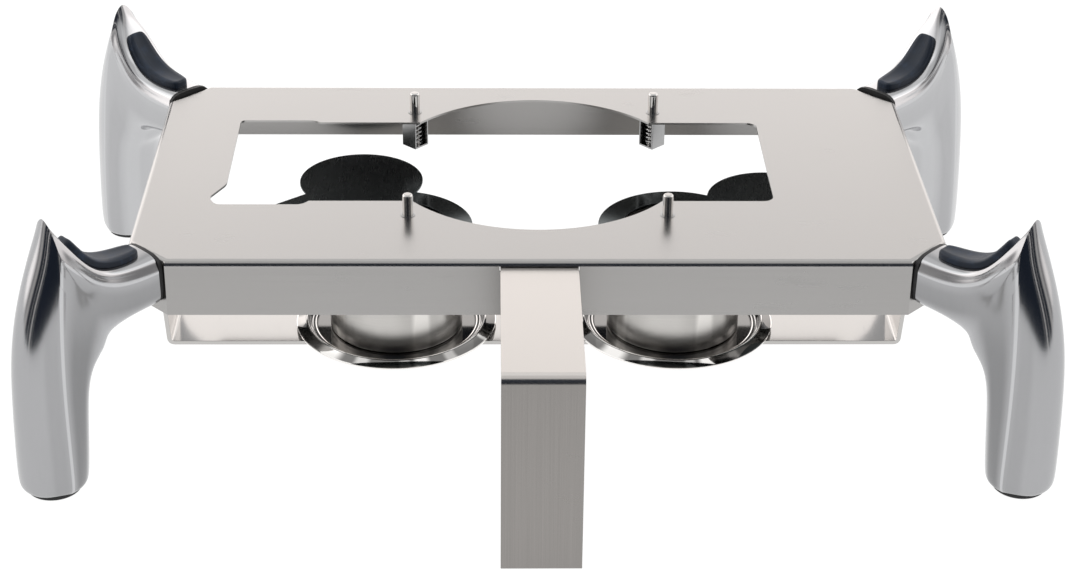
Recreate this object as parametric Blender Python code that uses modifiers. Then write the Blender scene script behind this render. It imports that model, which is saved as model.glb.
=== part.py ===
"""Chafing dish food warmer: a pressed sheet frame on four cast legs, two lidded fuel holders
on a hanging shelf, four sprung pins that locate the dish, and a stabiliser foot in front."""

import math

import bmesh
import bpy
from mathutils import Matrix, Vector

MM = 0.001

# Driving dimensions ---------------------------------------------------------------------------
GAP = 0.3 * MM  # between faces that touch on the real object
OVERSHOOT = 5 * MM  # how far a cutter runs past what it cuts
EDGE = 0.6 * MM  # chamfer on small turned pieces
SHARP_ANGLE = 35  # degrees, above which an edge is shaded sharp

FRAME_WIDTH = 540 * MM
FRAME_DEPTH = 283.3 * MM
FRAME_TOP = 143.2 * MM  # top of the plate above the floor
FRAME_SHEET = 1.5 * MM
FLANGE_HEIGHT = 39.5 * MM
BEND_RADIUS = 4 * MM
CHAMFER_X = 27 * MM  # corner cut along the long side
CHAMFER_Y = 28 * MM  # corner cut along the short side

WINDOW_RIGHT = 161.7 * MM  # all from the frame's centre
WINDOW_BACK = 75.5 * MM
WINDOW_FRONT = -53 * MM
WINDOW_CORNER = 7 * MM
BAY_START = -155.5 * MM  # the window is wider to the left of this
BAY_LEFT = -213.7 * MM
BAY_STEP = 4.5 * MM  # length of the slope into the wider part
BAY_BACK = 78.9 * MM
BAY_FRONT = -58.5 * MM
FLARE_TOP = -27 * MM
FLARE_REACH = 10 * MM
ARC_CENTRE_Y = 10 * MM
ARC_RADIUS = 106 * MM

PIN_SPACING_X = 175 * MM
PIN_SPACING_Y = 168 * MM
PIN_DIAMETER = 7.2 * MM
PIN_RISE = 15.6 * MM  # above the plate
PIN_CROWN = 1.8 * MM  # radius of its rounded top edge
PIN_GROOVE = 0.8 * MM  # depth of the groove for its clip
PIN_TAIL = 2.5 * MM  # below its bracket
BUSH_WALL = 1.2 * MM
BUSH_RIM = 0.8 * MM
BUSH_RIM_WIDTH = 0.9 * MM
BRACKET_SIDE = 13.4 * MM
BRACKET_DEPTH = 26 * MM
BRACKET_SHEET = 1.2 * MM
SPRING_WIRE = 1.1 * MM
SPRING_TURNS = 6
SPRING_POINTS = 8  # in each turn
CLIP_THICKNESS = 1 * MM
CLIP_DIAMETER = 10.2 * MM

FOOT_PAD_HEIGHT = 3 * MM
FOOT_PAD_DIAMETER = 40 * MM
FOOT_STEM_DIAMETER = 10 * MM
FOOT_STEM_LENGTH = 8 * MM
GASKET_THICKNESS = 3 * MM
SADDLE_PAD_WIDTH = 20 * MM
SADDLE_PAD_THICKNESS = 5 * MM
BOLT_DIAMETER = 6 * MM
BOLT_HEAD_DIAMETER = 10 * MM
BOLT_HEAD_HEIGHT = 6 * MM
BOLT_GRIP = 16 * MM  # thread inside the leg
BOLT_HEIGHTS = (118 * MM, 133 * MM)

SHELF_WIDTH = 54 * MM
SHELF_SHEET = 3 * MM
SHELF_TOP = 18.5 * MM
SHELF_LENGTH = 522 * MM  # flat part, between the bends
SHELF_TAB = 30 * MM  # height of each end against the frame's flange
SHELF_TAB_LIFT = 2 * MM  # its foot above the flange's lower edge
SHELF_BEND = 4 * MM

STABILISER_WIDTH = 51 * MM
STABILISER_SHEET = 2.5 * MM
STABILISER_DROP = 4.2 * MM  # its top below the plate's top
STABILISER_REACH = 281.2 * MM  # front face from the frame's centre
STABILISER_BEND = 6 * MM
STABILISER_TONGUE = 38 * MM  # length under the plate
STABILISER_JOG = (4 * MM, 12 * MM)  # where its step down starts and ends, behind the flange
SLOT_RELIEF = 0.8 * MM  # how far the slot runs in behind the flange

BURNER_SPACING = 200 * MM
CUP_DIAMETER = 95.2 * MM
CUP_SHEET = 0.8 * MM
SAUCER_DIAMETER = 144 * MM
SAUCER_SHEET = 1 * MM
SAUCER_FLOOR = 9.6 * MM  # its flat floor outside the cup
RING_DIAMETER = 110.8 * MM
RING_HOLE = 76 * MM
RING_SHEET = 1.2 * MM
RING_TOP = 97.5 * MM
RING_SKIRT = 6 * MM
LID_DIAMETER = 90 * MM
LID_SHEET = 1 * MM
LID_HANDLE_WIDTH = 15.5 * MM
LID_HANDLE_REACH = 85 * MM  # handle tip from the lid's centre
LID_REST_LEFT = 129.7  # degrees that each lid stands open
LID_REST_RIGHT = 209
PIVOT_X = 30 * MM  # lid pivot from the burner's centre
PIVOT_Y = 29 * MM
RIVET_DIAMETER = 3.6 * MM
RIVET_HEAD = 6 * MM
RIVET_HEAD_HEIGHT = 1.2 * MM

# The cast leg, as sections from the foot up the horn and back along the arm. Each row gives a
# section's outer middle, its widest point and its inner middle as (out, height) from the frame's
# corner face, its half width, how square its outer half is (2 is round) and how deep its inner
# edge is rounded.
LEG_SECTIONS = (
    ((104.4, 3.0), (85.4, 3.0), 19.0, (66.4, 3.0), 2.0, 19.0),
    ((107.6, 5.0), (85.4, 5.0), 22.2, (63.2, 5.0), 2.0, 22.2),
    ((108.7, 10.0), (85.4, 10.0), 23.3, (62.1, 10.0), 2.0, 23.3),
    ((108.0, 40.0), (85.4, 40.0), 22.7, (60.6, 40.0), 2.0, 20.0),
    ((107.2, 68.0), (84.7, 67.0), 21.5, (60.0, 64.0), 2.0, 16.0),
    ((105.9, 92.0), (83.6, 89.0), 20.4, (59.2, 77.0), 2.0, 13.0),
    ((103.0, 112.0), (82.3, 108.0), 19.6, (57.0, 85.5), 2.0, 12.0),
    ((98.4, 130.0), (80.8, 125.0), 18.9, (54.6, 90.5), 2.0, 11.0),
    ((92.3, 147.0), (79.2, 140.0), 18.2, (52.0, 94.0), 2.0, 10.5),
    ((85.4, 162.5), (77.2, 153.0), 17.1, (49.6, 96.7), 2.0, 10.0),
    ((79.4, 178.0), (75.3, 163.0), 15.8, (47.2, 99.0), 1.8, 10.0),
    ((74.8, 192.9), (73.2, 170.3), 14.5, (45.0, 100.7), 1.4, 10.0),
    ((70.8, 184.0), (70.6, 165.5), 15.3, (42.6, 102.3), 1.8, 10.0),
    ((66.0, 176.3), (66.6, 160.6), 16.3, (40.0, 103.7), 2.8, 10.0),
    ((60.2, 167.5), (61.6, 155.6), 17.2, (37.0, 105.0), 3.6, 10.0),
    ((54.3, 159.3), (55.3, 149.6), 17.9, (33.5, 106.1), 4.0, 10.0),
    ((46.6, 151.8), (47.2, 143.4), 18.2, (29.5, 107.0), 4.0, 10.0),
    ((37.0, 147.6), (36.6, 138.6), 18.3, (24.5, 107.8), 4.0, 10.0),
    ((26.5, 145.9), (26.0, 136.6), 18.3, (18.5, 108.4), 4.0, 10.0),
    ((14.5, 145.5), (14.0, 136.0), 18.2, (11.0, 108.8), 3.6, 10.5),
    ((3.3, 145.9), (3.3, 136.4), 18.0, (3.3, 109.0), 3.2, 11.0),
)
LEG_QUARTER_STEPS = 4  # points in each quarter of a section
PAD_FIRST = 13.4  # the saddle pad's ends, as positions along the sections
PAD_LAST = 19.5
PAD_STATIONS = 11
PAD_PROFILE = (  # half width and height, as shares
    (1, 0),
    (1, 0.75),
    (0.86, 0.95),
    (0.3, 1),
    (-0.3, 1),
    (-0.86, 0.95),
    (-1, 0.75),
    (-1, 0),
)

ROUND = 32  # facets of a round piece
SMALL_ROUND = 14  # and of a small one

# What follows from them -----------------------------------------------------------------------
UNDER_PLATE = FRAME_TOP - FRAME_SHEET
CORNER_ANGLE = math.atan2(CHAMFER_X, CHAMFER_Y)
CORNER_X = FRAME_WIDTH / 2 - CHAMFER_X / 2
CORNER_Y = FRAME_DEPTH / 2 - CHAMFER_Y / 2
BRACKET_BOTTOM = FRAME_TOP - BRACKET_DEPTH
SAUCER_BASE = SHELF_TOP + GAP
CUP_BASE = SAUCER_BASE + SAUCER_SHEET + GAP
CUP_TOP = RING_TOP - RING_SHEET - GAP
LID_BASE = RING_TOP + GAP
CORNERS = {
    "front_left": (-1, -1),
    "front_right": (1, -1),
    "back_left": (-1, 1),
    "back_right": (1, 1),
}
LEG_POINTS = [
    (Vector(a) * MM, Vector(c) * MM, half * MM, Vector(b) * MM, power, rounding * MM)
    for a, c, half, b, power, rounding in LEG_SECTIONS
]


# Materials ------------------------------------------------------------------------------------
def make_material(name, colour, roughness, metallic):
    material = bpy.data.materials.new(name)
    material.use_nodes = True
    shader = material.node_tree.nodes["Principled BSDF"]
    shader.inputs["Base Color"].default_value = (*colour, 1)
    shader.inputs["Roughness"].default_value = roughness
    shader.inputs["Metallic"].default_value = metallic
    return material


def make_materials():
    return {
        "brushed": make_material("brushed_sheet", (0.62, 0.61, 0.59), 0.32, 1),
        "mirror": make_material("mirror_sheet", (0.68, 0.68, 0.67), 0.08, 1),
        "satin": make_material("satin_sheet", (0.55, 0.54, 0.52), 0.4, 1),
        "cast": make_material("polished_casting", (0.66, 0.66, 0.66), 0.15, 1),
        "rubber": make_material("navy_rubber", (0.02, 0.03, 0.045), 0.5, 0),
        "gasket": make_material("black_gasket", (0.01, 0.01, 0.011), 0.6, 0),
        "fastener": make_material("plated_steel", (0.6, 0.6, 0.6), 0.25, 1),
    }


# Shape helpers --------------------------------------------------------------------------------
class Builder:
    """Makes and places the named pieces; cutters go in a collection of their own."""

    def __init__(self):
        self.materials = make_materials()
        self.parts = bpy.data.collections.new("chafing_dish_food_warmer")
        self.cutters = bpy.data.collections.new("cutters")
        for collection in (self.parts, self.cutters):
            bpy.context.scene.collection.children.link(collection)

    def add(self, name, mesh, material, place=None):
        """Puts a mesh in the model as one piece."""
        mesh.name = name
        obj = bpy.data.objects.new(name, mesh)
        mesh.materials.clear()
        mesh.materials.append(self.materials[material])
        mesh.shade_smooth()
        mesh.set_sharp_from_angle(angle=math.radians(SHARP_ANGLE))
        self.parts.objects.link(obj)
        if place is not None:
            obj.matrix_world = place
        return obj

    def cut(self, target, mesh, place=None):
        """Takes a mesh's shape out of a piece."""
        cutter = bpy.data.objects.new(target.name + ".cutter", mesh)
        self.cutters.objects.link(cutter)
        if place is not None:
            cutter.matrix_world = place
        cutter.hide_render = True
        cutter.display_type = "WIRE"
        boolean = target.modifiers.new("cut", "BOOLEAN")
        boolean.operation = "DIFFERENCE"
        boolean.solver = "EXACT"
        boolean.object = cutter


def mesh_from(bm, name="shape"):
    bmesh.ops.recalc_face_normals(bm, faces=bm.faces)
    mesh = bpy.data.meshes.new(name)
    bm.to_mesh(mesh)
    bm.free()
    return mesh


def cylinder(radius, bottom, top, segments=SMALL_ROUND, at=(0, 0)):
    bm = bmesh.new()
    bmesh.ops.create_cone(
        bm,
        cap_ends=True,
        segments=segments,
        radius1=radius,
        radius2=radius,
        depth=top - bottom,
        matrix=Matrix.Translation((at[0], at[1], (top + bottom) / 2)),
    )
    return mesh_from(bm)


def box(low, high):
    bm = bmesh.new()
    size = Vector(high) - Vector(low)
    centre = (Vector(high) + Vector(low)) / 2
    place = Matrix.Translation(centre) @ Matrix.Diagonal((*size, 1))
    bmesh.ops.create_cube(bm, size=1, matrix=place)
    return mesh_from(bm)


def evaluated_mesh(obj):
    """The mesh of an object with its modifiers; the object itself is removed."""
    bpy.context.view_layer.update()
    graph = bpy.context.evaluated_depsgraph_get()
    mesh = bpy.data.meshes.new_from_object(obj.evaluated_get(graph))
    data = obj.data
    bpy.data.objects.remove(obj)
    if isinstance(data, bpy.types.Curve):
        bpy.data.curves.remove(data)
    else:
        bpy.data.meshes.remove(data)
    bm = bmesh.new()
    bm.from_mesh(mesh)
    bmesh.ops.remove_doubles(bm, verts=bm.verts, dist=1e-6)
    bmesh.ops.recalc_face_normals(bm, faces=bm.faces)
    bm.to_mesh(mesh)
    bm.free()
    return mesh


def plate_mesh(outline, bottom, top):
    """A flat sheet with the given outline, from a filled 2D curve."""
    curve = bpy.data.curves.new("outline", "CURVE")
    curve.dimensions = "2D"
    curve.fill_mode = "BOTH"
    curve.extrude = (top - bottom) / 2
    spline = curve.splines.new("POLY")
    spline.points.add(len(outline) - 1)
    for point, (x, y) in zip(spline.points, outline):
        point.co = (x, y, 0, 1)
    spline.use_cyclic_u = True
    obj = bpy.data.objects.new("outline", curve)
    bpy.context.scene.collection.objects.link(obj)
    mesh = evaluated_mesh(obj)
    mesh.transform(Matrix.Translation((0, 0, (top + bottom) / 2)))
    return mesh


def turned_mesh(profile, segments=ROUND):
    """Turns a closed profile of (radius, height) about Z; it runs from top middle outwards."""
    mesh = bpy.data.meshes.new("profile")
    points = [(r, 0, z) for r, z in profile]
    on_axis = profile[0][0] == 0
    edges = [(i, i + 1) for i in range(len(points) - 1)]
    if not on_axis:
        edges.append((len(points) - 1, 0))
    mesh.from_pydata(points, edges, [])
    obj = bpy.data.objects.new("profile", mesh)
    bpy.context.scene.collection.objects.link(obj)
    screw = obj.modifiers.new("turn", "SCREW")
    screw.steps = segments
    screw.render_steps = segments
    screw.use_merge_vertices = True
    screw.merge_threshold = 0.0000001
    return evaluated_mesh(obj)


def arc(centre, radius, start, end, steps):
    """Points along an arc, angles in degrees."""
    angles = [math.radians(start + (end - start) * i / steps) for i in range(steps + 1)]
    return [(centre[0] + radius * math.cos(a), centre[1] + radius * math.sin(a)) for a in angles]


def rounded(points, steps=3):
    """A closed outline whose (x, y, radius) corners are turned into arcs."""
    outline = []
    for i, (x, y, radius) in enumerate(points):
        here = Vector((x, y))
        if radius == 0:
            outline.append((x, y))
            continue
        before = (Vector(points[i - 1][:2]) - here).normalized()
        after = (Vector(points[(i + 1) % len(points)][:2]) - here).normalized()
        half = before.angle(after) / 2
        reach = radius / math.tan(half)
        centre = here + (before + after).normalized() * radius / math.sin(half)
        first = here + before * reach - centre
        last = here + after * reach - centre
        turn = first.angle_signed(last)
        for step in range(steps + 1):
            spoke = first.copy()
            spoke.rotate(Matrix.Rotation(-turn * step / steps, 2))
            outline.append(tuple(centre + spoke))
    return outline


def bent_strip(path, radius, width, thickness, across, steps=4):
    """A sheet strip: an open path through its middle with rounded bends, given its thickness."""
    line = []
    for i, point in enumerate(path):
        here = Vector(point)
        if i in (0, len(path) - 1):
            line.append(here)
            continue
        before = (Vector(path[i - 1]) - here).normalized()
        after = (Vector(path[i + 1]) - here).normalized()
        half = before.angle(after) / 2
        reach = min(radius / math.tan(half), 0.45 * (Vector(path[i - 1]) - here).length)
        for step in range(steps + 1):
            t = step / steps
            start, end = here + before * reach, here + after * reach
            line.append(start * (1 - t) ** 2 + here * 2 * t * (1 - t) + end * t**2)
    bm = bmesh.new()
    rows = []
    for side in (-width / 2, width / 2):
        if across == "Y":
            rows.append([bm.verts.new((p[0], side, p[1])) for p in line])
        else:
            rows.append([bm.verts.new((side, p[0], p[1])) for p in line])
    for i in range(len(line) - 1):
        bm.faces.new((rows[0][i], rows[0][i + 1], rows[1][i + 1], rows[1][i]))
    mesh = bpy.data.meshes.new("strip")
    bm.to_mesh(mesh)
    bm.free()
    obj = bpy.data.objects.new("strip", mesh)
    bpy.context.scene.collection.objects.link(obj)
    solidify = obj.modifiers.new("sheet", "SOLIDIFY")
    solidify.thickness = thickness
    solidify.offset = 0
    solidify.use_even_offset = True
    return evaluated_mesh(obj)


def loft(rings):
    """Closes a row of rings with the same number of points into one body with flat ends."""
    bm = bmesh.new()
    rows = [[bm.verts.new(point) for point in ring] for ring in rings]
    count = len(rows[0])
    for first, second in zip(rows, rows[1:]):
        for i in range(count):
            j = (i + 1) % count
            bm.faces.new((first[i], first[j], second[j], second[i]))
    bm.faces.new(reversed(rows[0]))
    bm.faces.new(rows[-1])
    return mesh_from(bm)


# The frame ------------------------------------------------------------------------------------
def frame_outline(inset):
    """The frame's eight-sided outline, moved in by a distance on every side."""
    half_x = FRAME_WIDTH / 2 - inset
    half_y = FRAME_DEPTH / 2 - inset
    corner = (CORNER_X * math.cos(CORNER_ANGLE) + CORNER_Y * math.sin(CORNER_ANGLE)) - inset
    on_side = (corner - half_x * math.cos(CORNER_ANGLE)) / math.sin(CORNER_ANGLE)
    on_end = (corner - half_y * math.sin(CORNER_ANGLE)) / math.cos(CORNER_ANGLE)
    return [
        (half_x, -on_side),
        (half_x, on_side),
        (on_end, half_y),
        (-on_end, half_y),
        (-half_x, on_side),
        (-half_x, -on_side),
        (-on_end, -half_y),
        (on_end, -half_y),
    ]


def pan_mesh(inset, bottom, top, radius):
    """The outline as a block whose top edges are rounded."""
    bm = bmesh.new()
    face = bm.faces.new([bm.verts.new((x, y, top)) for x, y in frame_outline(inset)])
    bmesh.ops.recalc_face_normals(bm, faces=[face])
    made = bmesh.ops.extrude_face_region(bm, geom=[face])
    moved = [v for v in made["geom"] if isinstance(v, bmesh.types.BMVert)]
    bmesh.ops.translate(bm, verts=moved, vec=(0, 0, bottom - top))
    edges = [e for e in bm.edges if all(abs(v.co.z - top) < 1e-9 for v in e.verts)]
    bmesh.ops.bevel(bm, geom=edges, offset=radius, segments=3, profile=0.5, affect="EDGES")
    return mesh_from(bm)


def window_outline():
    """The opening in the plate: straight sides, two large arcs and a flared bay at the left."""
    half_back = math.sqrt(ARC_RADIUS**2 - (WINDOW_BACK - ARC_CENTRE_Y) ** 2)
    half_front = math.sqrt(ARC_RADIUS**2 - (WINDOW_FRONT - ARC_CENTRE_Y) ** 2)
    back_angle = math.degrees(math.atan2(WINDOW_BACK - ARC_CENTRE_Y, half_back))
    front_angle = math.degrees(math.atan2(WINDOW_FRONT - ARC_CENTRE_Y, half_front))
    centre = (0, ARC_CENTRE_Y)
    back_arc = arc(centre, ARC_RADIUS, back_angle, 180 - back_angle, 16)
    front_arc = arc(centre, ARC_RADIUS, -180 - front_angle, front_angle, 16)
    corners = [
        (WINDOW_RIGHT, WINDOW_FRONT, WINDOW_CORNER),
        (WINDOW_RIGHT, WINDOW_BACK, WINDOW_CORNER),
        *[(x, y, 0) for x, y in back_arc],
        (BAY_START, WINDOW_BACK, 0),
        (BAY_START - BAY_STEP, BAY_BACK, 0),
        (BAY_LEFT, BAY_BACK, WINDOW_CORNER / 2),
        (BAY_LEFT, FLARE_TOP, 0),
        (BAY_LEFT - FLARE_REACH, (FLARE_TOP + 2 * BAY_FRONT) / 3, WINDOW_CORNER / 2),
        (BAY_LEFT - FLARE_REACH / 2, BAY_FRONT, WINDOW_CORNER / 2),
        (BAY_START - BAY_STEP, BAY_FRONT, 0),
        (BAY_START, WINDOW_FRONT, 0),
        *[(x, y, 0) for x, y in front_arc],
    ]
    return rounded(corners)


def pin_place(corner):
    side_x, side_y = CORNERS[corner]
    return side_x * PIN_SPACING_X / 2, side_y * PIN_SPACING_Y / 2 + ARC_CENTRE_Y


def corner_frame(corner):
    """Maps (out, across, up) of a leg to the frame: out is square to the corner's face."""
    side_x, side_y = CORNERS[corner]
    out = Vector((side_x * math.cos(CORNER_ANGLE), side_y * math.sin(CORNER_ANGLE), 0))
    across = Vector((0, 0, 1)).cross(out)
    place = Matrix((out, across, (0, 0, 1))).transposed().to_4x4()
    place.translation = (side_x * CORNER_X, side_y * CORNER_Y, 0)
    return place


def bolt_bore(radius, start, end, height):
    """A cylinder along a leg's out direction."""
    mesh = cylinder(radius, start, end, segments=8)
    mesh.transform(Matrix.Translation((0, 0, height)) @ Matrix.Rotation(math.pi / 2, 4, "Y"))
    return mesh


def build_frame(make, origin):
    frame = make.add(
        "frame_plate",
        pan_mesh(0, FRAME_TOP - FLANGE_HEIGHT, FRAME_TOP, BEND_RADIUS),
        "brushed",
        origin,
    )
    hollow = pan_mesh(
        FRAME_SHEET, FRAME_TOP - FLANGE_HEIGHT - OVERSHOOT, UNDER_PLATE, BEND_RADIUS - FRAME_SHEET
    )
    make.cut(frame, hollow, origin)
    window = plate_mesh(window_outline(), UNDER_PLATE - OVERSHOOT, FRAME_TOP + OVERSHOOT)
    make.cut(frame, window, origin)
    bush_hole = PIN_DIAMETER / 2 + GAP + BUSH_WALL + GAP
    for corner in CORNERS:
        x, y = pin_place(corner)
        hole = cylinder(bush_hole, UNDER_PLATE - OVERSHOOT, FRAME_TOP + OVERSHOOT, at=(x, y))
        make.cut(frame, hole, origin)
        for height in BOLT_HEIGHTS:
            bore = bolt_bore(BOLT_DIAMETER / 2 + GAP, -OVERSHOOT, OVERSHOOT, height)
            make.cut(frame, bore, origin @ corner_frame(corner))
    slot_top = FRAME_TOP - STABILISER_DROP + GAP
    half_slot = STABILISER_WIDTH / 2 + GAP
    front = -FRAME_DEPTH / 2
    slot = box(
        (-half_slot, front - OVERSHOOT, slot_top - STABILISER_SHEET - 2 * GAP),
        (half_slot, front + FRAME_SHEET + SLOT_RELIEF, slot_top),
    )
    make.cut(frame, slot, origin)


def build_stabiliser(make, origin):
    """The strip comes out under the plate's front bend and turns down to the floor."""
    half = STABILISER_SHEET / 2
    under = UNDER_PLATE - GAP - half
    level = FRAME_TOP - STABILISER_DROP - half
    flange = -FRAME_DEPTH / 2 + FRAME_SHEET
    front = -STABILISER_REACH + half
    path = [
        (flange + STABILISER_TONGUE, under),
        (flange + STABILISER_JOG[1], under),
        (flange + STABILISER_JOG[0], level),
        (front, level),
        (front, 0),
    ]
    strip = bent_strip(path, STABILISER_BEND - half, STABILISER_WIDTH, STABILISER_SHEET, "X")
    make.add("stabiliser_foot", strip, "brushed", origin)


def build_shelf(make, origin):
    """The burner shelf hangs between the two end flanges."""
    half = SHELF_SHEET / 2
    at_flange = FRAME_WIDTH / 2 - FRAME_SHEET - GAP - half
    tab_foot = FRAME_TOP - FLANGE_HEIGHT + SHELF_TAB_LIFT
    floor = SHELF_TOP - half
    half_path = [
        (at_flange, tab_foot + SHELF_TAB),
        (at_flange, tab_foot),
        (SHELF_LENGTH / 2, floor),
    ]
    path = half_path + [(-x, z) for x, z in reversed(half_path)]
    strip = bent_strip(path, SHELF_BEND, SHELF_WIDTH, SHELF_SHEET, "Y")
    make.add("burner_shelf", strip, "mirror", origin)


# The legs -------------------------------------------------------------------------------------
def leg_section(outer, widest, half, inner, power, rounding):
    """One closed section of the leg: a super-ellipse outside, flat sides and a rounded inside."""
    side = []
    for i in range(LEG_QUARTER_STEPS + 1):
        angle = math.pi / 2 * i / LEG_QUARTER_STEPS
        along = max(math.cos(angle), 0) ** (2 / power)
        side.append((widest + (outer - widest) * along, half * math.sin(angle) ** (2 / power)))
    depth = (inner - widest).length
    inward = (inner - widest).normalized()
    edge_power = 3 - rounding / half
    for i in range(1, LEG_QUARTER_STEPS + 1):
        rise = 1 - math.sin(math.pi / 2 * i / LEG_QUARTER_STEPS)
        from_inner = rounding * rise + (depth - rounding) * rise**1.6
        into = max(1 - from_inner / rounding, 0)
        wide = half * (1 - into**edge_power) ** (1 / edge_power)
        side.append((inner - inward * from_inner, wide))
    ring = [(p.x, wide, p.y) for p, wide in side]
    ring += [(p.x, -wide, p.y) for p, wide in reversed(side[1:-1])]
    return ring


def saddle_point(position):
    """A point on the saddle's middle line and its upward normal, at a place along the sections."""
    outline = [section[0] for section in LEG_POINTS]
    index = min(int(position), len(outline) - 2)
    t = position - index
    p0, p1, p2 = outline[index - 1], outline[index], outline[index + 1]
    p3 = outline[min(index + 2, len(outline) - 1)]
    point = (
        p1 * 2 + (p2 - p0) * t + (p0 * 2 - p1 * 5 + p2 * 4 - p3) * t**2
        + (p1 * 3 - p0 - p2 * 3 + p3) * t**3
    ) / 2
    slope = ((p2 - p0) + (p0 * 2 - p1 * 5 + p2 * 4 - p3) * 2 * t
             + (p1 * 3 - p0 - p2 * 3 + p3) * 3 * t**2) / 2
    slope.normalize()
    return point, Vector((slope.y, -slope.x))


def saddle_pad_mesh():
    """A rubber strip that follows the saddle, with rounded ends and a slightly crowned top."""
    rings = []
    for i in range(PAD_STATIONS):
        spread = math.pi * i / (PAD_STATIONS - 1)
        position = (PAD_FIRST + PAD_LAST) / 2 - (PAD_LAST - PAD_FIRST) / 2 * math.cos(spread)
        half = SADDLE_PAD_WIDTH / 2 * max(math.sin(spread), 0.12) ** 0.35
        point, normal = saddle_point(position)
        end = 0.75 if i in (0, PAD_STATIONS - 1) else 1
        ring = []
        for wide, high in PAD_PROFILE:
            place = point + normal * (GAP * 2 + SADDLE_PAD_THICKNESS * high * end)
            ring.append((place.x, half * wide, place.y))
        rings.append(ring)
    return loft(rings)


def build_leg(make, origin, corner):
    place = origin @ corner_frame(corner)
    leg = make.add(
        "leg_" + corner, loft([leg_section(*section) for section in LEG_POINTS]), "cast", place
    )
    foot_out = LEG_POINTS[0][1].x
    stem_hole = cylinder(
        FOOT_STEM_DIAMETER / 2 + GAP,
        -OVERSHOOT,
        FOOT_PAD_HEIGHT + FOOT_STEM_LENGTH + GAP,
        at=(foot_out, 0),
    )
    make.cut(leg, stem_hole, place)
    arm_face = LEG_POINTS[-1][0].x
    clearance = BOLT_DIAMETER / 2 + GAP
    for height in BOLT_HEIGHTS:
        bore = bolt_bore(clearance, arm_face - OVERSHOOT, arm_face + BOLT_GRIP + GAP, height)
        make.cut(leg, bore, place)

    gasket_ring = leg_section(*LEG_POINTS[-1])
    gasket_rings = [[(out, y, z) for _, y, z in gasket_ring] for out in (GAP, GASKET_THICKNESS)]
    gasket = make.add("leg_gasket_" + corner, loft(gasket_rings), "gasket", place)
    for height in BOLT_HEIGHTS:
        bore = bolt_bore(clearance, -OVERSHOOT, GASKET_THICKNESS + OVERSHOOT, height)
        make.cut(gasket, bore, place)

    make.add("saddle_pad_" + corner, saddle_pad_mesh(), "rubber", place)

    pad_top = FOOT_PAD_HEIGHT - GAP
    radius = FOOT_PAD_DIAMETER / 2
    stem = FOOT_STEM_DIAMETER / 2
    foot_profile = [
        (0, pad_top + FOOT_STEM_LENGTH),
        (stem, pad_top + FOOT_STEM_LENGTH),
        (stem, pad_top),
        (radius - EDGE, pad_top),
        (radius, pad_top - EDGE),
        (radius - EDGE, 0),
        (0, 0),
    ]
    foot = turned_mesh(foot_profile, 20)
    make.add("foot_pad_" + corner, foot, "gasket", place @ Matrix.Translation((foot_out, 0, 0)))

    for level, height in zip(("lower", "upper"), BOLT_HEIGHTS):
        build_leg_bolt(make, place, f"leg_bolt_{level}_{corner}", height)


def build_leg_bolt(make, place, name, height):
    """A socket-head bolt from inside the frame, through flange and gasket into the arm."""
    under_head = -FRAME_SHEET - GAP
    tip = LEG_POINTS[-1][0].x + BOLT_GRIP
    head = BOLT_HEAD_DIAMETER / 2
    shank = BOLT_DIAMETER / 2
    socket = BOLT_DIAMETER / 2 - EDGE
    profile = [
        (0, tip),
        (shank, tip),
        (shank, under_head),
        (head, under_head),
        (head, under_head - BOLT_HEAD_HEIGHT),
        (socket, under_head - BOLT_HEAD_HEIGHT),
        (socket, under_head - BOLT_HEAD_HEIGHT / 2),
        (0, under_head - BOLT_HEAD_HEIGHT / 2),
    ]
    bolt = turned_mesh(profile, 8)
    bolt.transform(Matrix.Translation((0, 0, height)) @ Matrix.Rotation(math.pi / 2, 4, "Y"))
    make.add(name, bolt, "fastener", place)


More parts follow.
